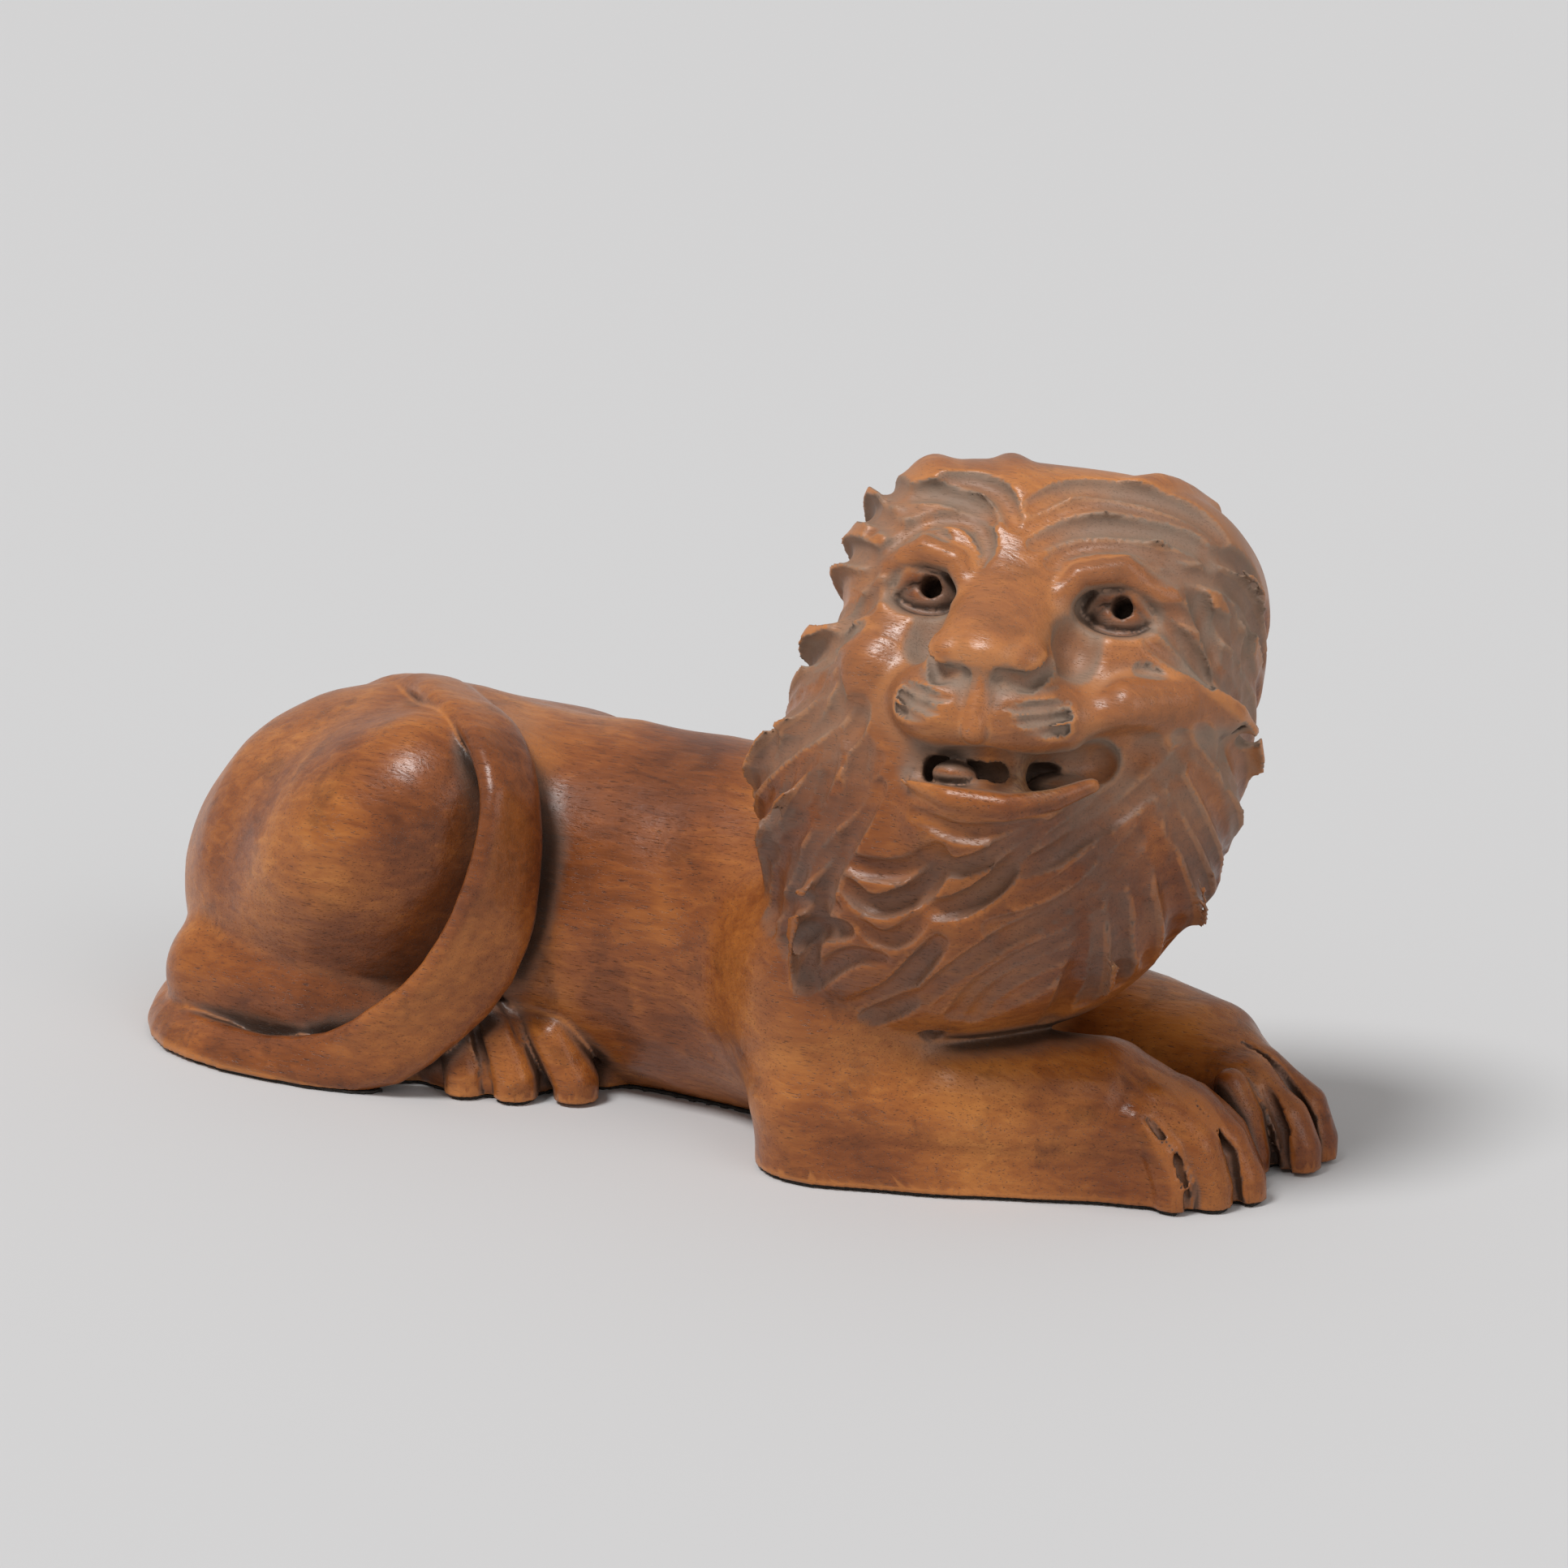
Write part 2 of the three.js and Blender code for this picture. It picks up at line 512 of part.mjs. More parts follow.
// One vertex for each sheet of the surface in each cell that it crosses, moved onto the planes that the
// surface has at the cell's edges, and one quad across each grid edge that it crosses.
function meshOf(form, gridX, gridY, gridZ) {
  const [nx, ny, nz] = [gridX.length, gridY.length, gridZ.length];
  const steps = [ny * nz, nz, 1];
  const value = new Float64Array(nx * ny * nz);
  const inner = (i, j, k) => i > 0 && j > 0 && k > 0 && i + 1 < nx && j + 1 < ny && k + 1 < nz;
  const place = (n) => [gridX[Math.floor(n / steps[0])], gridY[Math.floor(n / nz) % ny], gridZ[n % nz]];
  for (let n = 0; n < value.length; n++) {
    const spot = [Math.floor(n / steps[0]), Math.floor(n / nz) % ny, n % nz];
    value[n] = inner(...spot) ? form(place(n)) : 1;
  }

  // Two inside corners that meet only across a face are joined by a third, so that no edge has four faces.
  let changed = true;
  while (changed) {
    changed = false;
    for (let n = 0; n + steps[0] + steps[1] + 1 < value.length; n++)
      for (const [u, v] of [[steps[0], steps[1]], [steps[1], 1], [1, steps[0]]]) {
        const [a, b, c, d] = [n, n + u, n + u + v, n + v].map((m) => value[m] < 0);
        if (a !== c || b !== d || a === b) continue;
        const out = a ? [n + u, n + v] : [n, n + u + v];
        const pick = value[out[0]] < value[out[1]] ? out[0] : out[1];
        value[pick] = -1e-3;
        changed = true;
      }
  }

  const cornerStep = (c) => (c & 1) * steps[0] + ((c >> 1) & 1) * steps[1] + (c >> 2);
  const corners = [0, 1, 2, 3, 4, 5, 6, 7].map(cornerStep);
  const edges = [];
  for (let c = 0; c < 8; c++) for (const bit of [1, 2, 4]) if (!(c & bit)) edges.push([c, c | bit]);
  const vertices = [];
  const vertexOf = new Map();
  for (let i = 0; i + 1 < nx; i++)
    for (let j = 0; j + 1 < ny; j++)
      for (let k = 0; k + 1 < nz; k++) {
        const base = i * steps[0] + j * steps[1] + k;
        const held = corners.map((c) => value[base + c]);
        const crossed = edges.filter(([a, b]) => held[a] < 0 !== held[b] < 0);
        if (!crossed.length) continue;
        const sheet = held.map((v, c) => c);
        for (let pass = 0; pass < 3; pass++)
          for (const [a, b] of edges)
            if (held[a] < 0 === held[b] < 0) sheet[a] = sheet[b] = Math.min(sheet[a], sheet[b]);
        const groups = new Map();
        for (const [a, b] of crossed) {
          const key = sheet[a] * 8 + sheet[b];
          const name = held[a] < 0 ? key : sheet[b] * 8 + sheet[a];
          if (!groups.has(name)) groups.set(name, []);
          groups.get(name).push([a, b]);
        }
        const low = place(base);
        const high = place(base + corners[7]);
        for (const group of groups.values()) {
          const hits = group.map(([a, b]) =>
            mix(place(base + corners[a]), place(base + corners[b]), held[a] / (held[a] - held[b])),
          );
          const slopes = hits.map((h) => slopeOf(form, h));
          let spot = hits.reduce((sum, h) => plus(sum, h, 1 / hits.length), [0, 0, 0]);
          for (let round = 0; round < 5; round++) {
            let push = [0, 0, 0];
            hits.forEach((h, n) => (push = plus(push, slopes[n], dot(slopes[n], minus(h, spot)))));
            spot = plus(spot, push, 1 / hits.length);
            spot = spot.map((s, n) => clamp(s, mix(low, high, 0.08)[n], mix(low, high, 0.92)[n]));
          }
          for (const [a, b] of group) vertexOf.set((base * 8 + a) * 8 + b, vertices.length / 3);
          vertices.push(...spot);
        }
      }

  const faces = [];
  const cellEdge = (base, a, b) => vertexOf.get((base * 8 + a) * 8 + b);
  for (let n = 0; n < value.length; n++)
    for (const axis of [0, 1, 2]) {
      const inside = value[n] < 0;
      const next = n + steps[axis];
      if (next >= value.length || inside === value[next] < 0) continue;
      const [u, v] = [(axis + 1) % 3, (axis + 2) % 3];
      const around = [[0, 0], [1, 0], [1, 1], [0, 1]].map(([a, b]) => {
        const from = (a << u) | (b << v);
        return cellEdge(n - a * steps[u] - b * steps[v], from, from | (1 << axis));
      });
      const [a, b, c, d] = inside ? around : [...around].reverse();
      const span = (m, o) => Math.hypot(...[0, 1, 2].map((w) => vertices[m * 3 + w] - vertices[o * 3 + w]));
      if (span(a, c) < span(b, d)) faces.push(a, b, c, a, c, d);
      else faces.push(a, b, d, b, c, d);
    }
  return { vertices: new Float32Array(vertices), faces: new Uint32Array(faces) };
}

// A mesh is thinned by drawing its shortest-felt edges together, each to the spot that keeps nearest to
// the planes of the triangles round it, until a number of triangles is left.
function thinned({ vertices, faces }, target) {
  const three = (list, i) => [...list.subarray(i * 3, i * 3 + 3)];
  const inThrees = (list) => Array.from({ length: list.length / 3 }, (_, i) => three(list, i));
  const spots = inThrees(vertices);
  const triangles = inThrees(faces);
  const touching = spots.map(() => new Set());
  const planes = spots.map(() => new Float64Array(10));
  const stamps = new Uint32Array(spots.length);
  const normalOf = ([a, b, c]) => cross(minus(b, a), minus(c, a));
  triangles.forEach((triangle, n) => {
    const corners = triangle.map((v) => spots[v]);
    const normal = normalOf(corners);
    const area = Math.hypot(...normal);
    const [x, y, z] = unit(normal);
    const w = -dot([x, y, z], corners[0]);
    const plane = [x * x, x * y, x * z, x * w, y * y, y * z, y * w, z * z, z * w, w * w];
    for (const v of triangle) {
      touching[v].add(n);
      plane.forEach((value, i) => (planes[v][i] += value * area));
    }
  });

  function drawing(u, v) {
    const q = planes[u].map((value, i) => value + planes[v][i]);
    const middle = mix(spots[u], spots[v], 0.5);
    const hold = 2e-3 * (q[0] + q[4] + q[7]) + 1e-9;
    const [a, b, c, d, e, f] = [q[0] + hold, q[1], q[2], q[4] + hold, q[5], q[7] + hold];
    const right = [hold * middle[0] - q[3], hold * middle[1] - q[6], hold * middle[2] - q[8]];
    const rows = [
      [d * f - e * e, c * e - b * f, b * e - c * d],
      [c * e - b * f, a * f - c * c, b * c - a * e],
      [b * e - c * d, b * c - a * e, a * d - b * b],
    ];
    const whole = a * rows[0][0] + b * rows[0][1] + c * rows[0][2];
    const spot = rows.map((row) => dot(row, right) / whole);
    const [x, y, z] = spot;
    const flat = q[0] * x * x + q[4] * y * y + q[7] * z * z + q[9];
    const bent = q[1] * x * y + q[2] * x * z + q[5] * y * z + q[3] * x + q[6] * y + q[8] * z;
    const length = Math.hypot(...minus(spots[u], spots[v]));
    return { cost: flat + 2 * bent + 1e-4 * length ** 4, u, v, spot, stamp: stamps[u] + stamps[v] };
  }

  const heap = [];
  function push(item) {
    let n = heap.push(item) - 1;
    while (n > 0 && heap[(n - 1) >> 1].cost > item.cost) {
      heap[n] = heap[(n - 1) >> 1];
      n = (n - 1) >> 1;
    }
    heap[n] = item;
  }
  function pop() {
    const top = heap[0];
    const item = heap.pop();
    if (!heap.length) return top;
    let n = 0;
    while (2 * n + 1 < heap.length) {
      let child = 2 * n + 1;
      if (child + 1 < heap.length && heap[child + 1].cost < heap[child].cost) child++;
      if (heap[child].cost >= item.cost) break;
      heap[n] = heap[child];
      n = child;
    }
    heap[n] = item;
    return top;
  }
  const neighbours = (v) => new Set([...touching[v]].flatMap((n) => triangles[n]).filter((w) => w !== v));
  for (const [a, b, c] of triangles)
    for (const [u, v] of [[a, b], [b, c], [c, a]]) if (u < v) push(drawing(u, v));

  const held = (u, v, spot) =>
    [...touching[u]].every((n) => {
      if (triangles[n].includes(v)) return true;
      const before = triangles[n].map((w) => spots[w]);
      const after = triangles[n].map((w) => (w === u ? spot : spots[w]));
      const [from, to] = [normalOf(before), normalOf(after)];
      const longest = Math.max(...[0, 1, 2].map((i) => Math.hypot(...minus(after[i], after[(i + 1) % 3]))));
      return dot(unit(from), unit(to)) > 0.3 && Math.hypot(...to) > 0.08 * longest * longest;
    });
  let left = triangles.length;
  while (left > target && heap.length) {
    const { u, v, spot, stamp } = pop();
    if (!touching[u].size || !touching[v].size || stamp !== stamps[u] + stamps[v]) continue;
    const beside = neighbours(u);
    if (!beside.has(v)) continue;
    const shared = [...neighbours(v)].filter((w) => beside.has(w));
    if (shared.length !== 2 || !held(u, v, spot) || !held(v, u, spot)) continue;
    for (const n of [...touching[v]]) {
      if (triangles[n].includes(u)) {
        for (const w of triangles[n]) touching[w].delete(n);
        left--;
      } else {
        triangles[n] = triangles[n].map((w) => (w === v ? u : w));
        touching[u].add(n);
      }
    }
    touching[v].clear();
    spots[u] = spot;
    planes[u] = planes[u].map((value, i) => value + planes[v][i]);
    stamps[u]++;
    for (const w of neighbours(u)) push(drawing(u, w));
  }

  const kept = new Map();
  const places = [];
  const indices = [];
  triangles.forEach((triangle, n) => {
    if (!touching[triangle[0]].has(n)) return;
    for (const v of triangle) {
      if (!kept.has(v)) {
        kept.set(v, kept.size);
        places.push(...spots[v]);
      }
      indices.push(kept.get(v));
    }
  });
  return { vertices: new Float32Array(places), faces: new Uint32Array(indices) };
}

// Solids are cut with manifold-3d.
const wasm = await Module();
wasm.setup();
function solidOf({ vertices, faces }) {
  return new wasm.Manifold(new wasm.Mesh({ numProp: 3, vertProperties: vertices, triVerts: faces }));
}
function blockSolid(low, high) {
  const [w, d, h] = minus(high, low);
  const block = new THREE.BoxGeometry(w, d, h).translate(low[0] + w / 2, low[1] + d / 2, low[2] + h / 2);
  block.deleteAttribute("normal");
  block.deleteAttribute("uv");
  const merged = mergeVertices(block);
  return solidOf({ vertices: merged.attributes.position.array, faces: new Uint32Array(merged.index.array) });
}
function geometryOf(solid) {
  const mesh = solid.getMesh();
  const geometry = new THREE.BufferGeometry();
  geometry.setAttribute("position", new THREE.BufferAttribute(new Float32Array(mesh.vertProperties), 3));
  geometry.setIndex(new THREE.BufferAttribute(new Uint32Array(mesh.triVerts), 1));
  geometry.computeVertexNormals();
  return geometry;
}

const woodBottom = feltThickness + feltGap;
const wide = of(400);
const belowWood = blockSolid([-wide, -wide, -wide], [wide, wide, woodBottom]);
const lionSolid = solidOf(thinned(meshOf(lion, gridX, gridY, gridZ), lionTriangles)).subtract(belowWood);

// The felt follows the lion's outline on the ground a little way in from it.
const slabHalf = of(12);
function footprint([x, y, z]) {
  return Math.max(lion([x, y, woodBottom + of(1)]) + feltInset, Math.abs(z) - slabHalf);
}
const slabZ = [-3, -2, -1, 1, 2, 3].map((n) => (n * slabHalf) / 2);
const feltTriangles = 700;
const feltX = gridLine([[-262, 10], [250, 10]]);
const feltY = gridLine([[-124, 9], [114, 9]]);
const feltSlab = blockSolid([-wide, -wide, 0], [wide, wide, feltThickness]);
const feltSolid = solidOf(thinned(meshOf(footprint, feltX, feltY, slabZ), feltTriangles)).intersect(feltSlab);

const wood = new THREE.MeshStandardMaterial({ name: "wood", color: 0x8c4a24, roughness: 0.42, metalness: 0 });
const felt = new THREE.MeshStandardMaterial({ name: "felt", color: 0x2a2724, roughness: 1, metalness: 0 });
function meshNamed(name, solid, material) {
  const mesh = new THREE.Mesh(geometryOf(solid), material);
  mesh.name = name;
  return mesh;
}

const figure = new THREE.Group();
figure.add(meshNamed("lion", lionSolid, wood), meshNamed("felt", feltSolid, felt));
export default figure;
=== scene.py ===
import math

import bpy
import numpy as np
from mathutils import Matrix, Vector


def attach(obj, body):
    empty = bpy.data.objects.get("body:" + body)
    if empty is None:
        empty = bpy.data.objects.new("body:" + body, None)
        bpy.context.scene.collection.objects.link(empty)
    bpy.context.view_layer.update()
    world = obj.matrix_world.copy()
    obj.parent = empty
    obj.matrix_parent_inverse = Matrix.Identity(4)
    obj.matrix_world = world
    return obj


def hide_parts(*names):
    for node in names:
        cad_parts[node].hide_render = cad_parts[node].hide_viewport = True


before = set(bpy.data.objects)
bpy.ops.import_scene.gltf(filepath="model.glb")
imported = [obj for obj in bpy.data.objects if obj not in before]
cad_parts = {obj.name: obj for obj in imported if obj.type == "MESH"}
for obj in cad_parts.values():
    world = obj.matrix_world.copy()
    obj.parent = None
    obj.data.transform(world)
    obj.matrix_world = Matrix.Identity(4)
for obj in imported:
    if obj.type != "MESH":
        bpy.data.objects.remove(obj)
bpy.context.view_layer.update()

# The lion's surface is the zero level of a field, as in the CAD source, with finer cuts added. Millimetres.
FAR = 1000.0
BAND = 4.0
RAD = math.pi / 180
FELT_TOP = 1.2
WOOD_BOTTOM = 1.5


def soft_min(a, b, reach):
    h = np.maximum(reach - np.abs(a - b), 0) / reach
    return np.minimum(a, b) - h * h * reach * 0.25


def soft_max(a, b, reach):
    return -soft_min(-a, -b, reach)


class Form:
    """A function of points, and the box outside which it needn't be asked."""

    def __init__(self, fn, low, high):
        self.fn = fn
        self.low = np.asarray(low, float)
        self.high = np.asarray(high, float)

    def near(self, points, pad):
        inside = np.all((points > self.low - pad) & (points < self.high + pad), axis=1)
        return np.nonzero(inside)[0]


def join(d, points, form, reach):
    rows = form.near(points, reach + BAND)
    if len(rows):
        d[rows] = soft_min(d[rows], form.fn(points[rows]), reach)


def carve(d, points, form, reach=0.0):
    rows = form.near(points, reach + BAND)
    if len(rows):
        taken = -form.fn(points[rows])
        d[rows] = soft_max(d[rows], taken, reach) if reach else np.maximum(d[rows], taken)


def ellipsoid(centre, radii, axes=None):
    centre = np.array(centre, float)
    radii = np.array(radii, float)
    axes = np.eye(3) if axes is None else np.array(axes, float)
    half = np.sqrt(((axes * radii[:, None]) ** 2).sum(axis=0))

    def fn(points):
        local = (points - centre) @ axes.T
        near = np.sqrt(((local / radii) ** 2).sum(axis=1))
        slope = np.sqrt(((local / radii**2) ** 2).sum(axis=1))
        return np.where(slope < 1e-9, -radii.min(), near * (near - 1) / np.maximum(slope, 1e-9))

    return Form(fn, centre - half, centre + half)


def rounded_block(centre, radii, power):
    centre = np.array(centre, float)
    radii = np.array(radii, float)

    def fn(points):
        local = np.abs((points - centre) / radii)
        return ((local**power).sum(axis=1) ** (1 / power) - 1) * radii.min()

    return Form(fn, centre - radii, centre + radii)


def turned_block(centre, radii, power, axes):
    block = rounded_block((0, 0, 0), radii, power)
    centre = np.array(centre, float)
    axes = np.array(axes, float)
    half = np.abs(axes.T) @ np.array(radii, float)
    return Form(lambda points: block.fn((points - centre) @ axes.T), centre - half, centre + half)


def strand(points, radii):
    line = np.array(points, float)
    sizes = np.array(radii, float)

    def fn(points):
        nearest = np.full(len(points), FAR)
        for i in range(len(line) - 1):
            along = line[i + 1] - line[i]
            d = points - line[i]
            t = np.clip(d @ along / max(along @ along, 1e-9), 0, 1)
            gap = np.sqrt(((d - t[:, None] * along) ** 2).sum(axis=1))
            nearest = np.minimum(nearest, gap - sizes[i] - (sizes[i + 1] - sizes[i]) * t)
        return nearest

    return Form(fn, (line - sizes[:, None]).min(axis=0), (line + sizes[:, None]).max(axis=0))


def walled(form, top):
    def fn(points):
        lifted = points.copy()
        lifted[:, 2] = np.maximum(lifted[:, 2], top)
        return form.fn(lifted)

    return Form(fn, [form.low[0], form.low[1], -50], form.high)


def on_both_sides(form):
    def fn(points):
        near_side = points.copy()
        near_side[:, 1] = -np.abs(near_side[:, 1])
        return form.fn(near_side)

    far = [form.high[0], -form.low[1], form.high[2]]
    return Form(fn, form.low, np.maximum(form.high, far))


def stretched(form, wide):
    scale = np.array([wide, 1.0, 1.0])
    return Form(lambda points: form.fn(points / scale), form.low * scale, form.high * scale)


def spread(points, radii, steps):
    """A smooth run of points through a few chosen ones, with a radius for each."""
    points = np.array(points, float)
    radii = np.array(radii, float)
    ends = np.vstack([2 * points[0] - points[1], points, 2 * points[-1] - points[-2]])
    run, sizes = [], []
    for i in range(steps + 1):
        t = i / steps * (len(points) - 1)
        k = min(int(t), len(points) - 2)
        f = t - k
        a, b, c, d = ends[k : k + 4]
        bend = 2 * a - 5 * b + 4 * c - d
        twist = 3 * b - a - 3 * c + d
        run.append(0.5 * (2 * b + (c - a) * f + bend * f**2 + twist * f**3))
        sizes.append(radii[k] + (radii[k + 1] - radii[k]) * f)
    return np.array(run), np.array(sizes)


# The barrel: x, half width, height of the centre, half height.
BARREL = np.array(
    [
        [-190, 50, 50, 60],
        [-130, 62, 58, 70],
        [-60, 60, 60, 69],
        [10, 59, 60, 68],
        [60, 66, 58, 66],
        [120, 62, 56, 60],
    ],
    float,
)


def barrel(points):
    x = np.clip(points[:, 0], BARREL[0, 0], BARREL[-1, 0])
    k = np.clip(np.searchsorted(BARREL[:, 0], x, side="left") - 1, 0, len(BARREL) - 2)
    t = (x - BARREL[k, 0]) / (BARREL[k + 1, 0] - BARREL[k, 0])
    s = t * t * (3 - 2 * t)
    wide, centre, high = [BARREL[k, i] + (BARREL[k + 1, i] - BARREL[k, i]) * s for i in (1, 2, 3)]
    section = (np.hypot(points[:, 1] / wide, (points[:, 2] - centre) / high) - 1) * np.minimum(wide, high)
    ends = np.maximum(BARREL[0, 0] - points[:, 0], points[:, 0] - BARREL[-1, 0])
    return soft_max(section, ends, 30)


TILT = 37 * RAD
THIGH_AXES = [[math.cos(TILT), 0, math.sin(TILT)], [0, 1, 0], [-math.sin(TILT), 0, math.cos(TILT)]]
RUMP = ellipsoid((-142, -4, 50), (92, 72, 78))
RIGHT_THIGH = ellipsoid((-112, -48, 86), (62, 44, 42), THIGH_AXES)
LEFT_THIGH = ellipsoid((-116, 46, 68), (60, 42, 42), THIGH_AXES)
LOWER_LEG = on_both_sides(
    walled(strand([(-186, -48, 22), (-130, -56, 24), (-104, -54, 20)], (30, 28, 22)), 16)
)


def toe(points, radius):
    points = [np.array(p, float) for p in points]
    points.append(points[-1] - np.array([0, 0, 20.0]))
    return strand(points, [radius * r for r in (0.85, 1, 0.95, 0.9)])


TOE = 9.5
HIND_PAW = [
    on_both_sides(form)
    for form in (
        ellipsoid((-72, -46, 12), (36, 27, 26)),
        toe([(-84, -52, 30), (-72, -63, 22), (-66, -68, 8)], TOE),
        toe([(-74, -50, 32), (-55, -60, 21), (-47, -63, 8)], TOE),
        toe([(-66, -44, 32), (-38, -52, 22), (-28, -53, 8)], TOE),
        toe([(-58, -34, 28), (-38, -33, 18), (-30, -31, 8)], TOE * 0.9),
    )
]
FORELEG_RADII = (29, 29, 26, 21)
RIGHT_FORELEG = walled(
    strand([(88, -60, 20), (132, -46, 26), (174, -30, 27), (200, -24, 20)], FORELEG_RADII), 17
)
LEFT_FORELEG = walled(
    strand([(80, 62, 20), (135, 52, 24), (176, 40, 24), (200, 27, 19)], FORELEG_RADII), 17
)
SHOULDER = on_both_sides(ellipsoid((88, -50, 58), (42, 38, 58)))
FRONT_PAWS = [
    toe([(196, -42, 30), (206, -41, 20), (210, -40, 8)], TOE * 0.85),
    toe([(200, -33, 34), (214, -32, 21), (219, -31, 8)], TOE * 0.9),
    toe([(202, -20, 34), (218, -19, 20), (225, -18, 8)], TOE * 0.9),
    toe([(200, -8, 30), (213, -7, 19), (219, -7, 8)], TOE * 0.8),
    toe([(206, 7, 31), (211, 8, 20), (214, 8, 8)], TOE * 0.8),
    toe([(206, 20, 31), (221, 20, 19), (227, 20, 8)], TOE * 0.9),
    toe([(206, 33, 31), (221, 34, 19), (226, 34, 8)], TOE * 0.9),
    toe([(202, 45, 26), (213, 45, 18), (218, 45, 8)], TOE * 0.8),
]

# Gouge lines between the toes and up the backs of the paws.
BODY_CUTS = [
    (strand([(202, -44, 32), (212, -42.5, 18), (216, -41, 2)], (1.2, 2, 1.6)), 0.8),
    (strand([(194, -30, 41), (210, -28, 33), (223, -25.5, 18), (226, -25, 2)], (0.8, 2.2, 2.4, 1.8)), 0.8),
    (strand([(196, -15, 42), (211, -13, 32), (222, -12.5, 16), (224, -12, 2)], (0.8, 2.2, 2.4, 1.8)), 0.8),
    (strand([(200, 14, 40), (215, 14, 32), (223, 14, 16), (225, 14, 2)], (0.8, 2.2, 2.4, 1.8)), 0.8),
    (strand([(200, 27, 40), (215, 27.5, 32), (226, 27.5, 16), (228, 27.5, 2)], (0.8, 2.2, 2.4, 1.8)), 0.8),
    (strand([(200, 40, 36), (214, 40, 28), (222, 40, 14), (224, 40, 2)], (0.8, 2, 2.2, 1.6)), 0.8),
] + [
    (on_both_sides(strand(line, (0.8, 2, 2.2, 1.6))), 0.8)
    for line in (
        [(-82, -56, 39), (-66, -64, 30), (-57, -70, 15), (-55, -71, 2)],
        [(-72, -50, 40), (-50, -60, 30), (-38, -66, 15), (-36, -66, 2)],
        [(-62, -40, 39), (-44, -44, 31), (-27, -43, 14), (-25, -43, 2)],
    )
]

# The tail: a ridge on the side of the thigh, a foot line beside it and rails across the face between them.
RIDGE_LINE = [
    (-226, 28, 50), (-233, 8, 30), (-228, -26, 13), (-212, -58, 10), (-188, -76, 10), (-160, -85, 10),
    (-128, -88, 12), (-99, -89, 25), (-75, -89, 43), (-60, -87, 62), (-49, -85, 84), (-46, -80, 103),
    (-48, -74, 117), (-58, -66, 128), (-76, -52, 134), (-102, -34, 136), (-132, -10, 133), (-160, 8, 125),
    (-184, 16, 112),
]
FOOT_LINE = [
    (-228, 28, 44), (-236, 6, 24), (-229, -32, 4), (-214, -62, 1), (-190, -82, 0), (-158, -90, 0),
    (-120, -88, 2), (-88, -82, 10), (-66, -76, 28), (-50, -68, 48), (-42, -66, 72), (-41, -64, 92),
    (-44, -60, 108), (-52, -52, 120), (-66, -42, 128), (-92, -22, 130), (-124, 4, 127), (-156, 20, 118),
    (-182, 28, 104),
]
RAIL_SHARES = (0, 0.25, 0.5, 0.75, 1)
RAIL_STEPS = 36


def tail_rail(share):
    line = np.array(RIDGE_LINE) * (1 - share) + np.array(FOOT_LINE) * share
    return strand(*spread(line, [4.2 + 2 * share] * len(line), RAIL_STEPS))


TAIL_RAILS = [tail_rail(share) for share in RAIL_SHARES]


def tail(points):
    d = TAIL_RAILS[0].fn(points)
    for rail in TAIL_RAILS[1:]:
        d = soft_min(d, rail.fn(points), 7)
    return d


TAIL = Form(
    tail,
    np.min([rail.low for rail in TAIL_RAILS], axis=0),
    np.max([rail.high for rail in TAIL_RAILS], axis=0),
)

# The head's own frame: across to the lion's left, up and ahead from the bridge of the nose.
TURN, LIFT, LEAN = -72 * RAD, 22 * RAD, 4 * RAD
FACE_ORIGIN = np.array([160.7, -69.4, 208.3])
AHEAD = np.array([math.cos(LIFT) * math.cos(TURN), math.cos(LIFT) * math.sin(TURN), math.sin(LIFT)])
LEVEL = np.array([-math.sin(TURN), math.cos(TURN), 0])
UPRIGHT = np.cross(AHEAD, LEVEL)
ACROSS = LEVEL * math.cos(LEAN) - UPRIGHT * math.sin(LEAN)
UPWARD = UPRIGHT * math.cos(LEAN) + LEVEL * math.sin(LEAN)
HEAD = np.array([ACROSS, UPWARD, AHEAD])


def in_head(points):
    return (points - FACE_ORIGIN) @ HEAD.T


def from_head(local):
    return np.asarray(local, float) @ HEAD + FACE_ORIGIN


CROWN = rounded_block((3.5, -5, -52), (71.5, 59, 56), 3.2)
SKULL = ellipsoid((2, -20, -46), (58, 58, 52))
RUFF = ellipsoid((-6, -62, -46), (82, 62, 46))
CHEST = ellipsoid((126, -24, 114), (74, 66, 66))
BIB = ellipsoid((108, -50, 88), (44, 40, 36))
LOWER_JAW = ellipsoid((4, -68, -6), (30, 13, 20))
CHIN = ellipsoid((2, -76, -8), (24, 12, 18))


def mane_mass(points):
    local = in_head(points)
    head = soft_min(soft_min(CROWN.fn(local), SKULL.fn(local), 10), RUFF.fn(local), 24)
    head = soft_min(soft_min(head, LOWER_JAW.fn(local), 8), CHIN.fn(local), 10)
    return soft_min(soft_min(head, CHEST.fn(points), 24), BIB.fn(points), 20)


def slope(field, points, step=0.5):
    parts = []
    for axis in range(3):
        shift = np.zeros(3)
        shift[axis] = step
        parts.append(field(points + shift) - field(points - shift))
    out = np.stack(parts, axis=1)
    return out / np.maximum(np.linalg.norm(out, axis=1, keepdims=True), 1e-9)


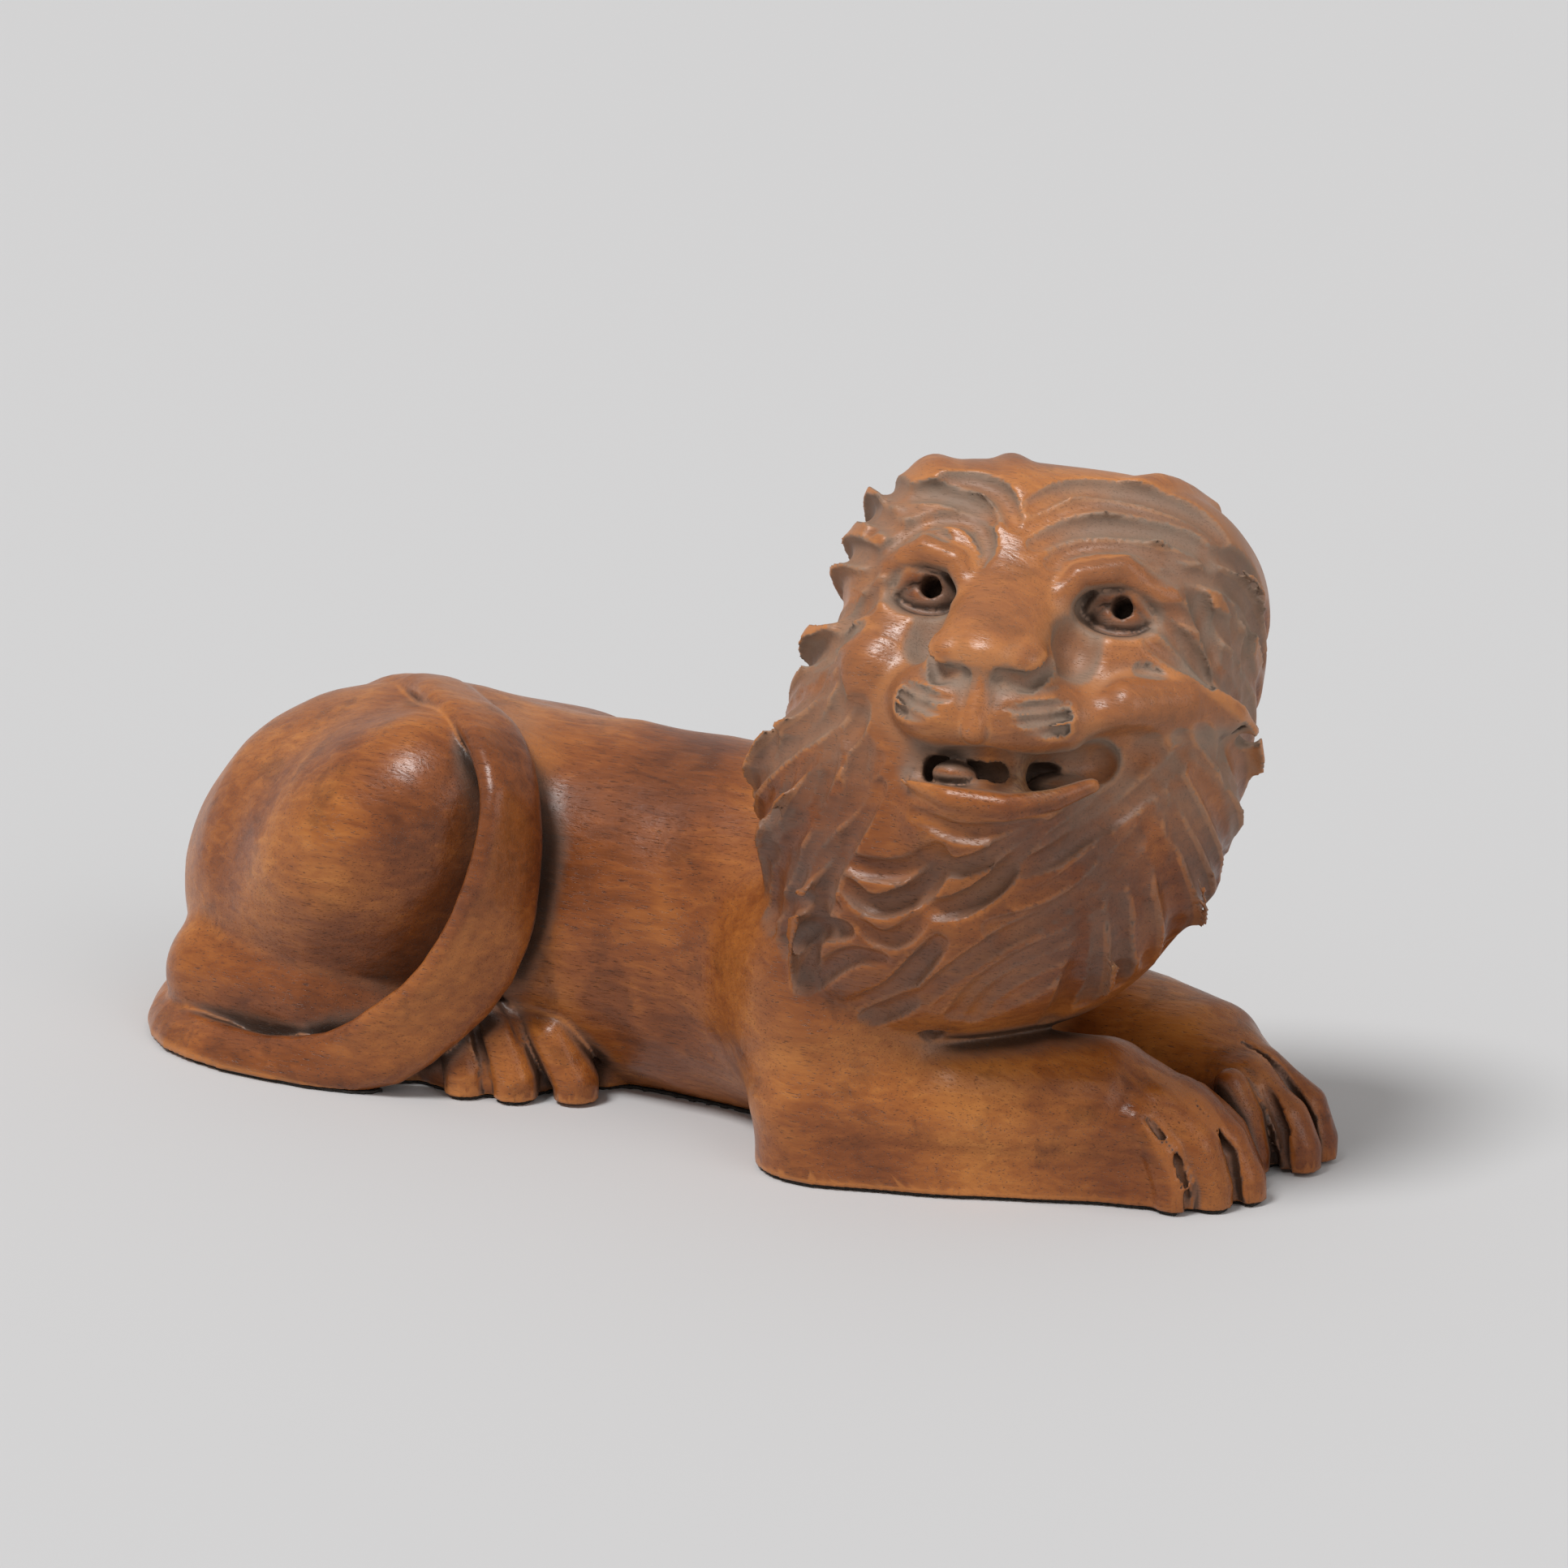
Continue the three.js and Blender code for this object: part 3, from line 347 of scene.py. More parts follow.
# Gouge cuts, laid out as they are seen from before the face: across and up. Each family runs from its first
# line to its last, through any between: name, count, gouge radius, lines.
FAMILIES = [
    ("over the left eye", 4, 4.4, [
        [(11, 14), (15, 20), (28, 24), (43, 23), (54, 18), (59, 10)],
        [(5, 20), (16, 28), (31, 31), (48, 31), (61, 27), (67, 20)],
        [(1, 25), (12, 33), (26, 38), (43, 36), (58, 34), (69, 26)],
        [(2, 33), (13, 41), (29, 43), (46, 41), (59, 37), (68, 30)]]),
    ("left temple", 3, 3.8, [
        [(60, 12), (65, 5), (71, -4), (75, -13)],
        [(71, 15), (77, 7), (80, -4), (83, -16)],
        [(77, 12), (82, 6), (85, -4), (84, -11)]]),
    ("left of the eye", 2, 3.8, [
        [(48, 2), (60, -6), (69, -13), (74, -21), (77, -31)],
        [(48, -7), (59, -12), (68, -19), (74, -27), (77, -36)]]),
    ("left rim", 2, 4, [
        [(79, -17), (82, -28), (82, -38), (84, -48)],
        [(85, -14), (88, -24), (87, -35), (88, -46)]]),
    ("left fold", 2, 4.4, [
        [(42, -41), (41, -51), (37, -60), (30, -68), (21, -75)],
        [(53, -38), (49, -49), (44, -59), (35, -70), (25, -77)]]),
    ("left beard", 4, 4.8, [
        [(68, -40), (61, -50), (50, -61), (39, -71), (29, -80), (18, -86)],
        [(66, -48), (60, -57), (51, -68), (42, -79), (32, -90), (20, -97)],
        [(63, -60), (57, -70), (49, -81), (41, -91), (30, -100), (12, -107)],
        [(59, -76), (52, -86), (43, -96), (31, -106), (13, -113)]]),
    ("lower beard", 5, 4.8, [
        [(59, -71), (50, -81), (43, -90), (33, -100), (17, -111), (4, -123), (-6, -134)],
        [(56, -86), (48, -96), (34, -107), (21, -116), (10, -125), (2, -137)],
        [(46, -107), (34, -115), (23, -122), (14, -132), (11, -139)],
        [(45, -116), (34, -122), (25, -129), (17, -136)]]),
    ("under the lip", 3, 4.2, [
        [(18, -71), (7, -75), (-6, -77), (-21, -73)],
        [(24, -72), (15, -85), (8, -94), (-1, -101), (-11, -104)]]),
    ("right beard", 4, 4.4, [
        [(-11, -83), (-20, -91), (-33, -93), (-45, -90)],
        [(-9, -86), (-13, -96), (-20, -102), (-30, -105), (-39, -100)],
        [(-12, -106), (-17, -113), (-24, -116), (-32, -112)],
        [(-5, -114), (-10, -123), (-17, -133), (-28, -140)]]),
    ("right fan", 5, 4.4, [
        [(-42, -107), (-53, -107), (-62, -112), (-66, -121)],
        [(-39, -113), (-50, -116), (-58, -123), (-61, -131)],
        [(-31, -119), (-39, -118), (-48, -125), (-54, -134)],
        [(-15, -125), (-28, -129), (-35, -136), (-38, -140)],
        [(-6, -136), (-12, -144), (-23, -149), (-33, -148)],
        [(1, -146), (-9, -152), (-23, -153), (-39, -153)]]),
    ("right cheek", 3, 4.2, [
        [(-40, -53), (-40, -62), (-44, -70), (-48, -76)],
        [(-46, -60), (-48, -68), (-50, -76), (-52, -82)],
        [(-57, -50), (-59, -60), (-61, -69), (-61, -76)],
        [(-64, -59), (-67, -67), (-69, -75), (-69, -82)]]),
    ("over the right eye", 4, 4, [
        [(-11, 10), (-10, 16), (-15, 24), (-22, 27), (-33, 25), (-40, 19), (-44, 11)],
        [(-17, 27), (-26, 29), (-35, 29), (-44, 26), (-51, 19)],
        [(-12, 27), (-18, 32), (-26, 35), (-35, 35), (-47, 31)],
        [(-3, 26), (-7, 33), (-12, 38), (-20, 40), (-28, 38)]]),
    ("right temple", 4, 4.2, [
        [(-42, 15), (-47, 8), (-51, 2), (-55, -1)],
        [(-46, 2), (-50, -4), (-53, -8), (-55, -10)],
        [(-46, -7), (-52, -12), (-58, -17), (-62, -21)],
        [(-49, -19), (-55, -22), (-60, -27), (-66, -32)],
        [(-52, -28), (-51, -35), (-53, -42), (-55, -47)]]),
    ("right shoulder", 2, 5.4, [
        [(-66, -92), (-71, -100), (-76, -107), (-79, -113)],
        [(-76, -84), (-80, -92), (-83, -99), (-85, -106)]]),
]
GAZE = np.array([0.26, -0.11, 0.96])
GAZE = GAZE / np.linalg.norm(GAZE)
GAZE_START, GAZE_STEP, GAZE_STEPS = 160, 2, 160
GOUGE_DEPTH = 4.2
RIM_RADIUS = 6.5
SCOOP_RADIUS = 5.2
LONGEST_STEP = 11
LOWEST_RUN = 60
CUTS = []


def on_mane(flat):
    """Where the mane's surface is met on the way in from before the face."""
    flat = np.asarray(flat, float)
    base = np.column_stack([flat, np.zeros(len(flat))])
    t = np.full(len(flat), float(GAZE_START))
    for _ in range(GAZE_STEPS):
        outside = mane_mass(from_head(base + GAZE * t[:, None])) > 0
        t = np.where(outside, t - GAZE_STEP, t)
    near, far = t, t + GAZE_STEP
    for _ in range(8):
        middle = (near + far) / 2
        inside = mane_mass(from_head(base + GAZE * middle[:, None])) < 0
        near, far = np.where(inside, middle, near), np.where(inside, far, middle)
    missed = np.nonzero(near < 5 - GAZE_START)[0]
    met = missed[0] if len(missed) else len(near)
    return from_head(base + GAZE * near[:, None])[:met]


def gouge_cut(spots, radius, depth):
    """A round gouge run along the mane: shallow at its ends and deepest in the middle."""
    t = np.linspace(0, 1, len(spots))
    sink = depth * np.sin(np.pi * (0.1 + 0.8 * t)) ** 0.6
    centres = spots + slope(mane_mass, spots) * (radius - sink)[:, None]
    return strand(centres, [radius] * len(centres))


def through(lines, part, steps=19):
    """A smooth line that lies a share of the way from the first line to the last."""
    place = part * (len(lines) - 1)
    k = min(int(place), len(lines) - 2)
    near, far = [spread(line, [1] * len(line), steps - 1)[0] for line in lines[k : k + 2]]
    return near * (1 - place + k) + far * (place - k)


def add_cut(spots, radius, depth=GOUGE_DEPTH):
    """A cut along a run of spots, as far as the mane goes on without a jump."""
    jumps = np.nonzero(np.linalg.norm(np.diff(spots, axis=0), axis=1) > LONGEST_STEP)[0]
    if len(jumps):
        spots = spots[: jumps[0] + 1]
    if len(spots) > 2:
        CUTS.append(gouge_cut(spots, radius, depth))


for _, count, radius, lines in FAMILIES:
    for i in range(count):
        flat = through(lines, i / (count - 1))
        add_cut(on_mane(flat), radius, GOUGE_DEPTH * (1.1 + 0.35 * math.sin(i * 2.3 + radius * 7)))

# Short leaf-shaped scoops, by their centres: slanting on the right of the beard and steeper on the left.
RIGHT_SCOOPS = [
    (-62, -34), (-63, -47), (-54, -56), (-59, -69), (-61, -81), (-46, -47), (-43, -60), (-43, -72),
    (-51, -77), (-74, -46), (-75, -62), (-73, -76), (-73, -92), (-61, -96), (-49, -91), (-78, -106),
    (-66, -122), (-78, -130),
]
LEFT_SCOOPS = [(58, -66), (67, -62), (60, -84), (69, -82), (55, -98), (64, -100), (50, -50)]


def add_scoop(centre, half_length, way):
    reach = np.linspace(-half_length, half_length, 5)[:, None]
    add_cut(on_mane(np.array(centre) + reach * np.array(way)), SCOOP_RADIUS)


for i, centre in enumerate(RIGHT_SCOOPS):
    lean = 0.35 + 0.3 * math.sin(i * 1.9)
    add_scoop(centre, 8, (-math.sin(lean), -math.cos(lean)))
for centre in LEFT_SCOOPS:
    add_scoop(centre, 9, (0.12, -0.99))

NECK_INSIDE = from_head((2, -30, -50))


def outward(turn, clock, lift=0.0):
    """Where rays from inside the neck leave the mane, by their turn from ahead and their clock angle."""
    way = np.column_stack([np.sin(turn) * np.sin(clock), np.sin(turn) * np.cos(clock), np.cos(turn)]) @ HEAD
    far = np.full(len(way), 10.0)
    for _ in range(190):
        far = np.where(mane_mass(NECK_INSIDE + way * far[:, None]) < 0, far + 1, far)
    return NECK_INSIDE + way * (far + lift)[:, None]


# Cuts down both sides of the face: side, first and last clock angle, count, and how far each one swings.
RIM_TURNS = np.linspace(46, 96, 17)
for side, first, last, count, swing in ((1, 34, 138, 14, 24), (-1, 30, 134, 13, 14)):
    for i in range(count):
        clock = side * (first + (last - first) * i / (count - 1))
        share = np.linspace(0, 1, len(RIM_TURNS))
        wave = 4 * math.sin(i * 2.1)
        run = outward((RIM_TURNS + wave) * RAD, (clock + side * swing * share**0.7) * RAD)
        add_cut(run, 4.8, GOUGE_DEPTH * (1 + 0.2 * math.sin(i * 1.7)))

# Locks whose tips stand out along the rim, swept down from the parting.
TUFTS = []
TUFT_COUNT = 15
for i in range(TUFT_COUNT):
    clock = -144 + 288 * (i + 0.5 + 0.3 * math.sin(i * 5.1)) / TUFT_COUNT
    sweep = 22 if clock > 20 else math.copysign(12, clock)
    size = 1 + 0.22 * math.sin(i * 2.4)
    if abs(clock) < 50:
        size *= 0.58
    share = np.linspace(0, 1, 8)
    lift = (8.5 * share**1.5 - 6.5) * size
    run = outward((58 + 36 * share) * RAD, (clock + sweep * share) * RAD, lift)
    swell = np.where(share < 0.45, 3 + 10 * share, 7.5 - 10 * (share - 0.45))
    TUFTS.append(strand(run, swell * size))
    if run[3][2] > LOWEST_RUN and abs(clock) > 55:
        along = np.linspace(0, 1, 17)
        edge = outward((56 + 50 * along) * RAD, (clock + 9.5 + sweep * along) * RAD)
        add_cut(edge, RIM_RADIUS, GOUGE_DEPTH + 1)

# Plainer cuts in rings on the back of the mane.
for ring, turn in enumerate((108, 126, 144, 162)):
    count = round(24 * math.sin(turn * RAD))
    for i in range(count):
        clock = (i + (ring % 2) / 2) / count * 360
        swing = np.array([-12, -6, 0, 6, 12.0])
        run = outward((turn + swing) * RAD, (clock + swing * 0.5) * RAD)
        if run[2][2] > LOWEST_RUN:
            add_cut(run, RIM_RADIUS)

# The face.
BRIDGE = stretched(
    strand([(0, 38, -24), (0, 18, -9), (0, 3, -1), (0, -9, 8), (0, -17, 15)], (8.5, 9.5, 11, 11.5, 11.5)), 1.6
)
NOSE_TILT = 18 * RAD
NOSE_AXES = [
    [1, 0, 0],
    [0, math.cos(NOSE_TILT), math.sin(NOSE_TILT)],
    [0, -math.sin(NOSE_TILT), math.cos(NOSE_TILT)],
]
NOSE = [
    turned_block((0, -19.5, 15), (15, 10, 15.5), 2.2, NOSE_AXES),
    ellipsoid((-13, -22, 17), (8, 7.5, 10)),
    ellipsoid((13, -22, 17), (8, 7.5, 10)),
]
MUZZLE = ellipsoid((0, -36, 2), (35, 18, 22))
UPPER_LIP = turned_block((0, -38, 8), (22, 12, 16), 2.6, NOSE_AXES)
LIP_PADS = [ellipsoid((l, -39, 10), (17, 11.5, 15)) for l in (-13.5, 13.5)]
PHILTRUM = strand([(0, -27, 22), (0, -46, 22)], (4, 4.5))
LOWER_LIP = strand(
    [(-22, -62, 8), (-6, -67.5, 14), (12, -68, 14), (27, -63, 10), (37, -56, 4)], (3, 4.2, 4.2, 3.6, 2.6)
)
LEFT_CHEEK = strand([(31, -37, 3), (44, -30, 3), (58, -25, -8), (70, -25, -24)], (7, 9.5, 9, 6))
RIGHT_CHEEK = ellipsoid((-41, -26, -8), (14, 15, 14))
BROWS = [
    strand([(-13, 2, 4), (-19, 11, 4), (-31, 14.5, 1), (-43, 8, -7), (-49, -2, -15)], (3.5, 4, 4.2, 4, 3)),
    strand([(15, 1, 4), (22, 11, 4), (36, 15.5, 1), (50, 8, -7), (57, -5, -17)], (3.5, 4, 4.2, 4, 3)),
]
EYES = ((-29, 1), (35, 2))
SOCKETS = [ellipsoid((l, u - 0.5, 0), (14, 8, 10)) for l, u in EYES]
EYEBALLS = [ellipsoid((l, u - 1, -12), (12, 7.5, 10)) for l, u in EYES]
UPPER_LID = [(-13, -3, -8), (-6, 4.6, -2.5), (4, 5, -2.5), (14, -4, -9)]
LOWER_LID = [(-12, -4, -8), (-4, -7.6, -5.5), (5, -7.6, -5.5), (13, -5, -9)]
LIDS = [
    strand([(l + across, u + up, ahead) for across, up, ahead in lid], radii)
    for lid, radii in ((UPPER_LID, (1.8, 2.6, 2.6, 1.8)), (LOWER_LID, (1.2, 1.6, 1.6, 1.2)))
    for l, u in EYES
]
PUPILS = [strand([(l + 1, u + 1.5, 6), (l + 1, u + 1.5, -16)], (3.8, 3.4)) for l, u in EYES]
MOUTH = [
    strand(
        [(-21, -60, 8), (-8, -57.5, 13), (4, -56, 14), (18, -55.5, 8), (36, -48, -4)], (4, 6.5, 7, 7.4, 6.5)
    ),
    strand([(-13, -58, 2), (2, -57, 0), (20, -56, -4)], (6, 7, 6)),
]
GRIT = ellipsoid((25, -59, -8), (12, 7, 7))
TONGUE = ellipsoid((-8, -59, 5), (7.5, 4.6, 7))
WEB = strand([(11, -48, 5), (12, -56, 3), (13, -64, 5)], (3.6, 2.4, 3.6))
# The nostrils, the two grooves of the upper lip, the hollows beside the nose and under the left cheek.
NOSTRIL_RADII = (1.8, 3.2, 3.4, 2.4)
FINE_CUTS = [
    (strand([(20.5, -11, 16), (21, -21, 18), (15, -28.5, 23), (6, -28, 27)], NOSTRIL_RADII), 0.6),
    (strand([(-19.5, -12, 16), (-20.5, -22, 18), (-15, -29.5, 23), (-7, -29, 27)], NOSTRIL_RADII), 0.6),
    (strand([(5.5, -29, 26), (5.5, -46, 27)], (2.2, 2)), 0.6),
    (strand([(-5.5, -29, 26), (-5.5, -46, 27)], (2.2, 2)), 0.6),
    (ellipsoid((25, -13, 6), (7, 9, 6)), 5),
    (ellipsoid((-24, -14, 6), (6, 9, 5)), 5),
    (ellipsoid((52, -45, 4), (19, 8, 9)), 6),
]
WHISKER_GROOVE = [(7, -1, 26.5), (14, -1.5, 25.5), (22, 1, 22), (28, 4, 16)]
for side in (-1, 1):
    for rise in (-36, -40.5, -45):
        groove = [(side * across, rise + up, ahead) for across, up, ahead in WHISKER_GROOVE]
        FINE_CUTS.append((strand(groove, (1.2, 2, 2.2, 1.6)), 0.4))


def face_forms(q):
    d = np.full(len(q), FAR)
    join(d, q, BRIDGE, 8)
    join(d, q, MUZZLE, 8)
    join(d, q, UPPER_LIP, 4)
    for form in (*NOSE, *LIP_PADS):
        join(d, q, form, 3)
    join(d, q, PHILTRUM, 2)
    for form in (LEFT_CHEEK, RIGHT_CHEEK):
        join(d, q, form, 8)
    return d


def hair(points):
    d = mane_mass(points)
    for form in TUFTS:
        join(d, points, form, 6)
    for cut in CUTS:
        carve(d, points, cut, 0.4)
    return d


def knife_marks(points):
    """How far the flat strokes of the knife lie under a smooth body: broad planes that meet in soft edges."""
    x, y, z = points.T
    a = np.abs(np.sin(x * 0.085 + np.sin(z * 0.05) * 1.3 + y * 0.03))
    b = np.abs(np.sin(z * 0.11 + np.sin(x * 0.045) * 1.1 - y * 0.05))
    c = np.abs(np.sin((x + z) * 0.062 + np.sin(y * 0.07) * 1.5))
    return 0.42 * a + 0.36 * b + 0.3 * c


def lion(points):
    d = soft_min(barrel(points), RUMP.fn(points), 24)
    join(d, points, RIGHT_THIGH, 20)
    join(d, points, LEFT_THIGH, 20)
    join(d, points, LOWER_LEG, 5)
    join(d, points, SHOULDER, 20)
    join(d, points, RIGHT_FORELEG, 12)
    join(d, points, LEFT_FORELEG, 12)
    paw = np.full(len(points), FAR)
    for form in HIND_PAW:
        join(paw, points, form, 0.01)
    d = soft_min(d, paw, 3)
    paw = np.full(len(points), FAR)
    for form in FRONT_PAWS:
        join(paw, points, form, 0.01)
    d = soft_min(d, paw, 2.5)
    join(d, points, TAIL, 2.5)
    d += knife_marks(points)
    for form, reach in BODY_CUTS:
        carve(d, points, form, reach)
    rows = np.nonzero((points[:, 0] > 40) & (points[:, 2] > 35))[0]
    near = points[rows]
    head = hair(near)
    q = in_head(near)
    face = np.nonzero((q[:, 2] > -60) & (q[:, 1] > -110))[0]
    ahead = q[face]
    front = soft_min(head[face], face_forms(ahead), 6)
    for form in SOCKETS:
        carve(front, ahead, form, 4)
    for form in (*EYEBALLS, *LIDS):
        join(front, ahead, form, 0.8)
    for form in (*BROWS, LOWER_LIP):
        join(front, ahead, form, 3)
    for form in MOUTH:
        carve(front, ahead, form, 1.2)
    join(front, ahead, TONGUE, 1)
    join(front, ahead, GRIT, 1)
    join(front, ahead, WEB, 3)
    for form in PUPILS:
        carve(front, ahead, form, 0.5)
    for form, reach in FINE_CUTS:
        carve(front, ahead, form, reach)
    head[face] = front
    d[rows] = soft_min(d[rows], head, 3)
    return np.maximum(d, WOOD_BOTTOM - points[:, 2])


# The grid: fine cells along a coarse block, and how near the surface a block and a pair of cells are refined.
BLOCK = 6
PAIR = 2
BLOCK_REACH = 1.8
PAIR_REACH = 2.4
JUST_INSIDE = -0.001


def in_slices(field, points, size=200000):
    return np.concatenate([field(points[i : i + size]) for i in range(0, len(points), size)])


def sampled(field, low, high, step):
    """The field on a fine grid: exact near the surface, and from coarser grids elsewhere."""
    blocks = np.ceil((np.array(high) - low) / (BLOCK * step)).astype(int)
    low = np.array(low, float)

    def places(index):
        return low + index * step

    def every(*counts):
        return np.stack(np.meshgrid(*[np.arange(n) for n in counts], indexing="ij"), axis=-1).reshape(-1, 3)

    coarse = every(*blocks)
    first = in_slices(field, places(coarse * BLOCK + (BLOCK - 1) / 2))
    values = first.reshape(blocks).astype(np.float32)
    for axis in range(3):
        values = np.repeat(values, BLOCK, axis)
    near = coarse[np.abs(first) < BLOCK * step * BLOCK_REACH]
    pairs = every(*[BLOCK // PAIR] * 3)
    middle = (near[:, None] * BLOCK + pairs[None] * PAIR).reshape(-1, 3)
    second = in_slices(field, places(middle + (PAIR - 1) / 2))
    corners = every(PAIR, PAIR, PAIR)
    for corner in corners:
        values[tuple((middle + corner).T)] = second
    last = middle[np.abs(second) < PAIR * step * PAIR_REACH]
    fine = (last[:, None] + corners[None]).reshape(-1, 3)
    values[tuple(fine.T)] = in_slices(field, places(fine))
    return values, low


def unpinched(values):
    """Joins inside corners that meet only across a face, so that no edge of the mesh has four faces."""
    for _ in range(6):
        for axis in range(3):
            grid = np.moveaxis(values, axis, 0)
            a, b, c, d = grid[:, :-1, :-1], grid[:, 1:, :-1], grid[:, 1:, 1:], grid[:, :-1, 1:]
            pinched = ((a < 0) == (c < 0)) & ((b < 0) == (d < 0)) & ((a < 0) != (b < 0))
            for near, far in ((a, c), (b, d)):
                outside = pinched & (near >= 0)
                nearer = outside & (near <= far)
                farther = outside & (near > far)
                near[nearer] = JUST_INSIDE
                far[farther] = JUST_INSIDE


def surface(values, low, step):
    """One vertex in each cell that the surface crosses and one quad across each crossed edge."""
    unpinched(values)
    inside = values < 0
    count = np.zeros(np.array(values.shape) - 1, np.int8)
    for i in (0, 1):
        for j in (0, 1):
            for k in (0, 1):
                count += inside[
                    i : inside.shape[0] - 1 + i, j : inside.shape[1] - 1 + j, k : inside.shape[2] - 1 + k
                ]
    cells = np.argwhere((count > 0) & (count < 8))
    number = np.full(count.shape, -1, np.int32)
    number[tuple(cells.T)] = np.arange(len(cells))
    total = np.zeros((len(cells), 3))
    hits = np.zeros(len(cells))
    for axis in range(3):
        for a in (0, 1):
            for b in (0, 1):
                start = np.zeros(3, int)
                start[(axis + 1) % 3] = a
                start[(axis + 2) % 3] = b
                end = start.copy()
                end[axis] = 1
                va = values[tuple((cells + start).T)]
                vb = values[tuple((cells + end).T)]
                rows = np.nonzero((va < 0) != (vb < 0))[0]
                t = va[rows] / (va[rows] - vb[rows])
                total[rows] += start + (end - start) * t[:, None]
                hits[rows] += 1
    vertices = low + (cells + total / hits[:, None]) * step
    quads = []
    for axis in range(3):
        lead = np.moveaxis(inside, axis, 0)
        crossed = np.argwhere(np.moveaxis(lead[:-1] != lead[1:], 0, axis))
        u, v = (axis + 1) % 3, (axis + 2) % 3
        crossed = crossed[(crossed[:, u] > 0) & (crossed[:, v] > 0)]
        crossed = crossed[(crossed[:, u] < count.shape[u]) & (crossed[:, v] < count.shape[v])]
        ring = []
        for a, b in ((0, 0), (1, 0), (1, 1), (0, 1)):
            cell = crossed.copy()
            cell[:, u] -= a
            cell[:, v] -= b
            ring.append(number[tuple(cell.T)])
        ring = np.stack(ring, axis=1)
        leaving = inside[tuple(crossed.T)]
        quads.append(np.where(leaving[:, None], ring, ring[:, ::-1]))
    return vertices, np.concatenate(quads)


def largest_shell(vertices, quads):
    """The mesh without any chip that hangs loose beside it."""
    label = np.arange(len(vertices))
    while True:
        joined = label.copy()
        lowest = label[quads].min(axis=1)
        for k in range(4):
            np.minimum.at(joined, quads[:, k], lowest)
        joined = joined[joined]
        if np.array_equal(joined, label):
            break
        label = joined
    kept = label == np.bincount(label[quads[:, 0]]).argmax()
    number = np.cumsum(kept) - 1
    return vertices[kept], number[quads[kept[quads[:, 0]]]]


def mesh_object(name, vertices, polygons):
    mesh = bpy.data.meshes.new(name)
    size = polygons.shape[1]
    mesh.vertices.add(len(vertices))
    mesh.vertices.foreach_set("co", (vertices * 0.001).astype(np.float32).ravel())
    mesh.loops.add(polygons.size)
    mesh.loops.foreach_set("vertex_index", polygons.astype(np.int32).ravel())
    mesh.polygons.add(len(polygons))
    mesh.polygons.foreach_set("loop_start", np.arange(0, polygons.size, size, dtype=np.int32))
    mesh.update(calc_edges=True)
    mesh.validate()
    obj = bpy.data.objects.new(name, mesh)
    bpy.context.scene.collection.objects.link(obj)
    return obj


def applied(obj):
    """The object with its modifiers applied."""
    bpy.context.view_layer.update()
    graph = bpy.context.evaluated_depsgraph_get()
    done = bpy.data.meshes.new_from_object(obj.evaluated_get(graph))
    old = obj.data
    obj.modifiers.clear()
    obj.data = done
    bpy.data.meshes.remove(old)
    return obj


# The cell of the lion's grid in millimetres, and the triangles that its mesh may keep.
STEP = 1.15
SHAPE_LIMIT = 194000
SHADE_AND_DUST_REACHES = (3.0, 7.0, 14.0)
WEAR_AND_SHEEN_REACHES = (1.6, 3.2)


def shaded_mesh(obj):
    for polygon in obj.data.polygons:
        polygon.use_smooth = True


def coords(obj):
    places = np.empty(len(obj.data.vertices) * 3, np.float32)
    obj.data.vertices.foreach_get("co", places)
    return places.reshape(-1, 3).astype(float) * 1000


def within(points, centre, radius, soft):
    """How far inside a ball each point lies, from 0 outside to 1."""
    return np.clip((radius - np.linalg.norm(points - centre, axis=1)) / soft, 0, 1)


def slope_in_slices(field, points):
    return slope(lambda p: in_slices(field, p), points, 0.3)


def paint(obj, name, values):
    layer = obj.data.attributes.new(name, "FLOAT", "POINT")
    layer.data.foreach_set("value", np.clip(values, 0, 1).astype(np.float32))


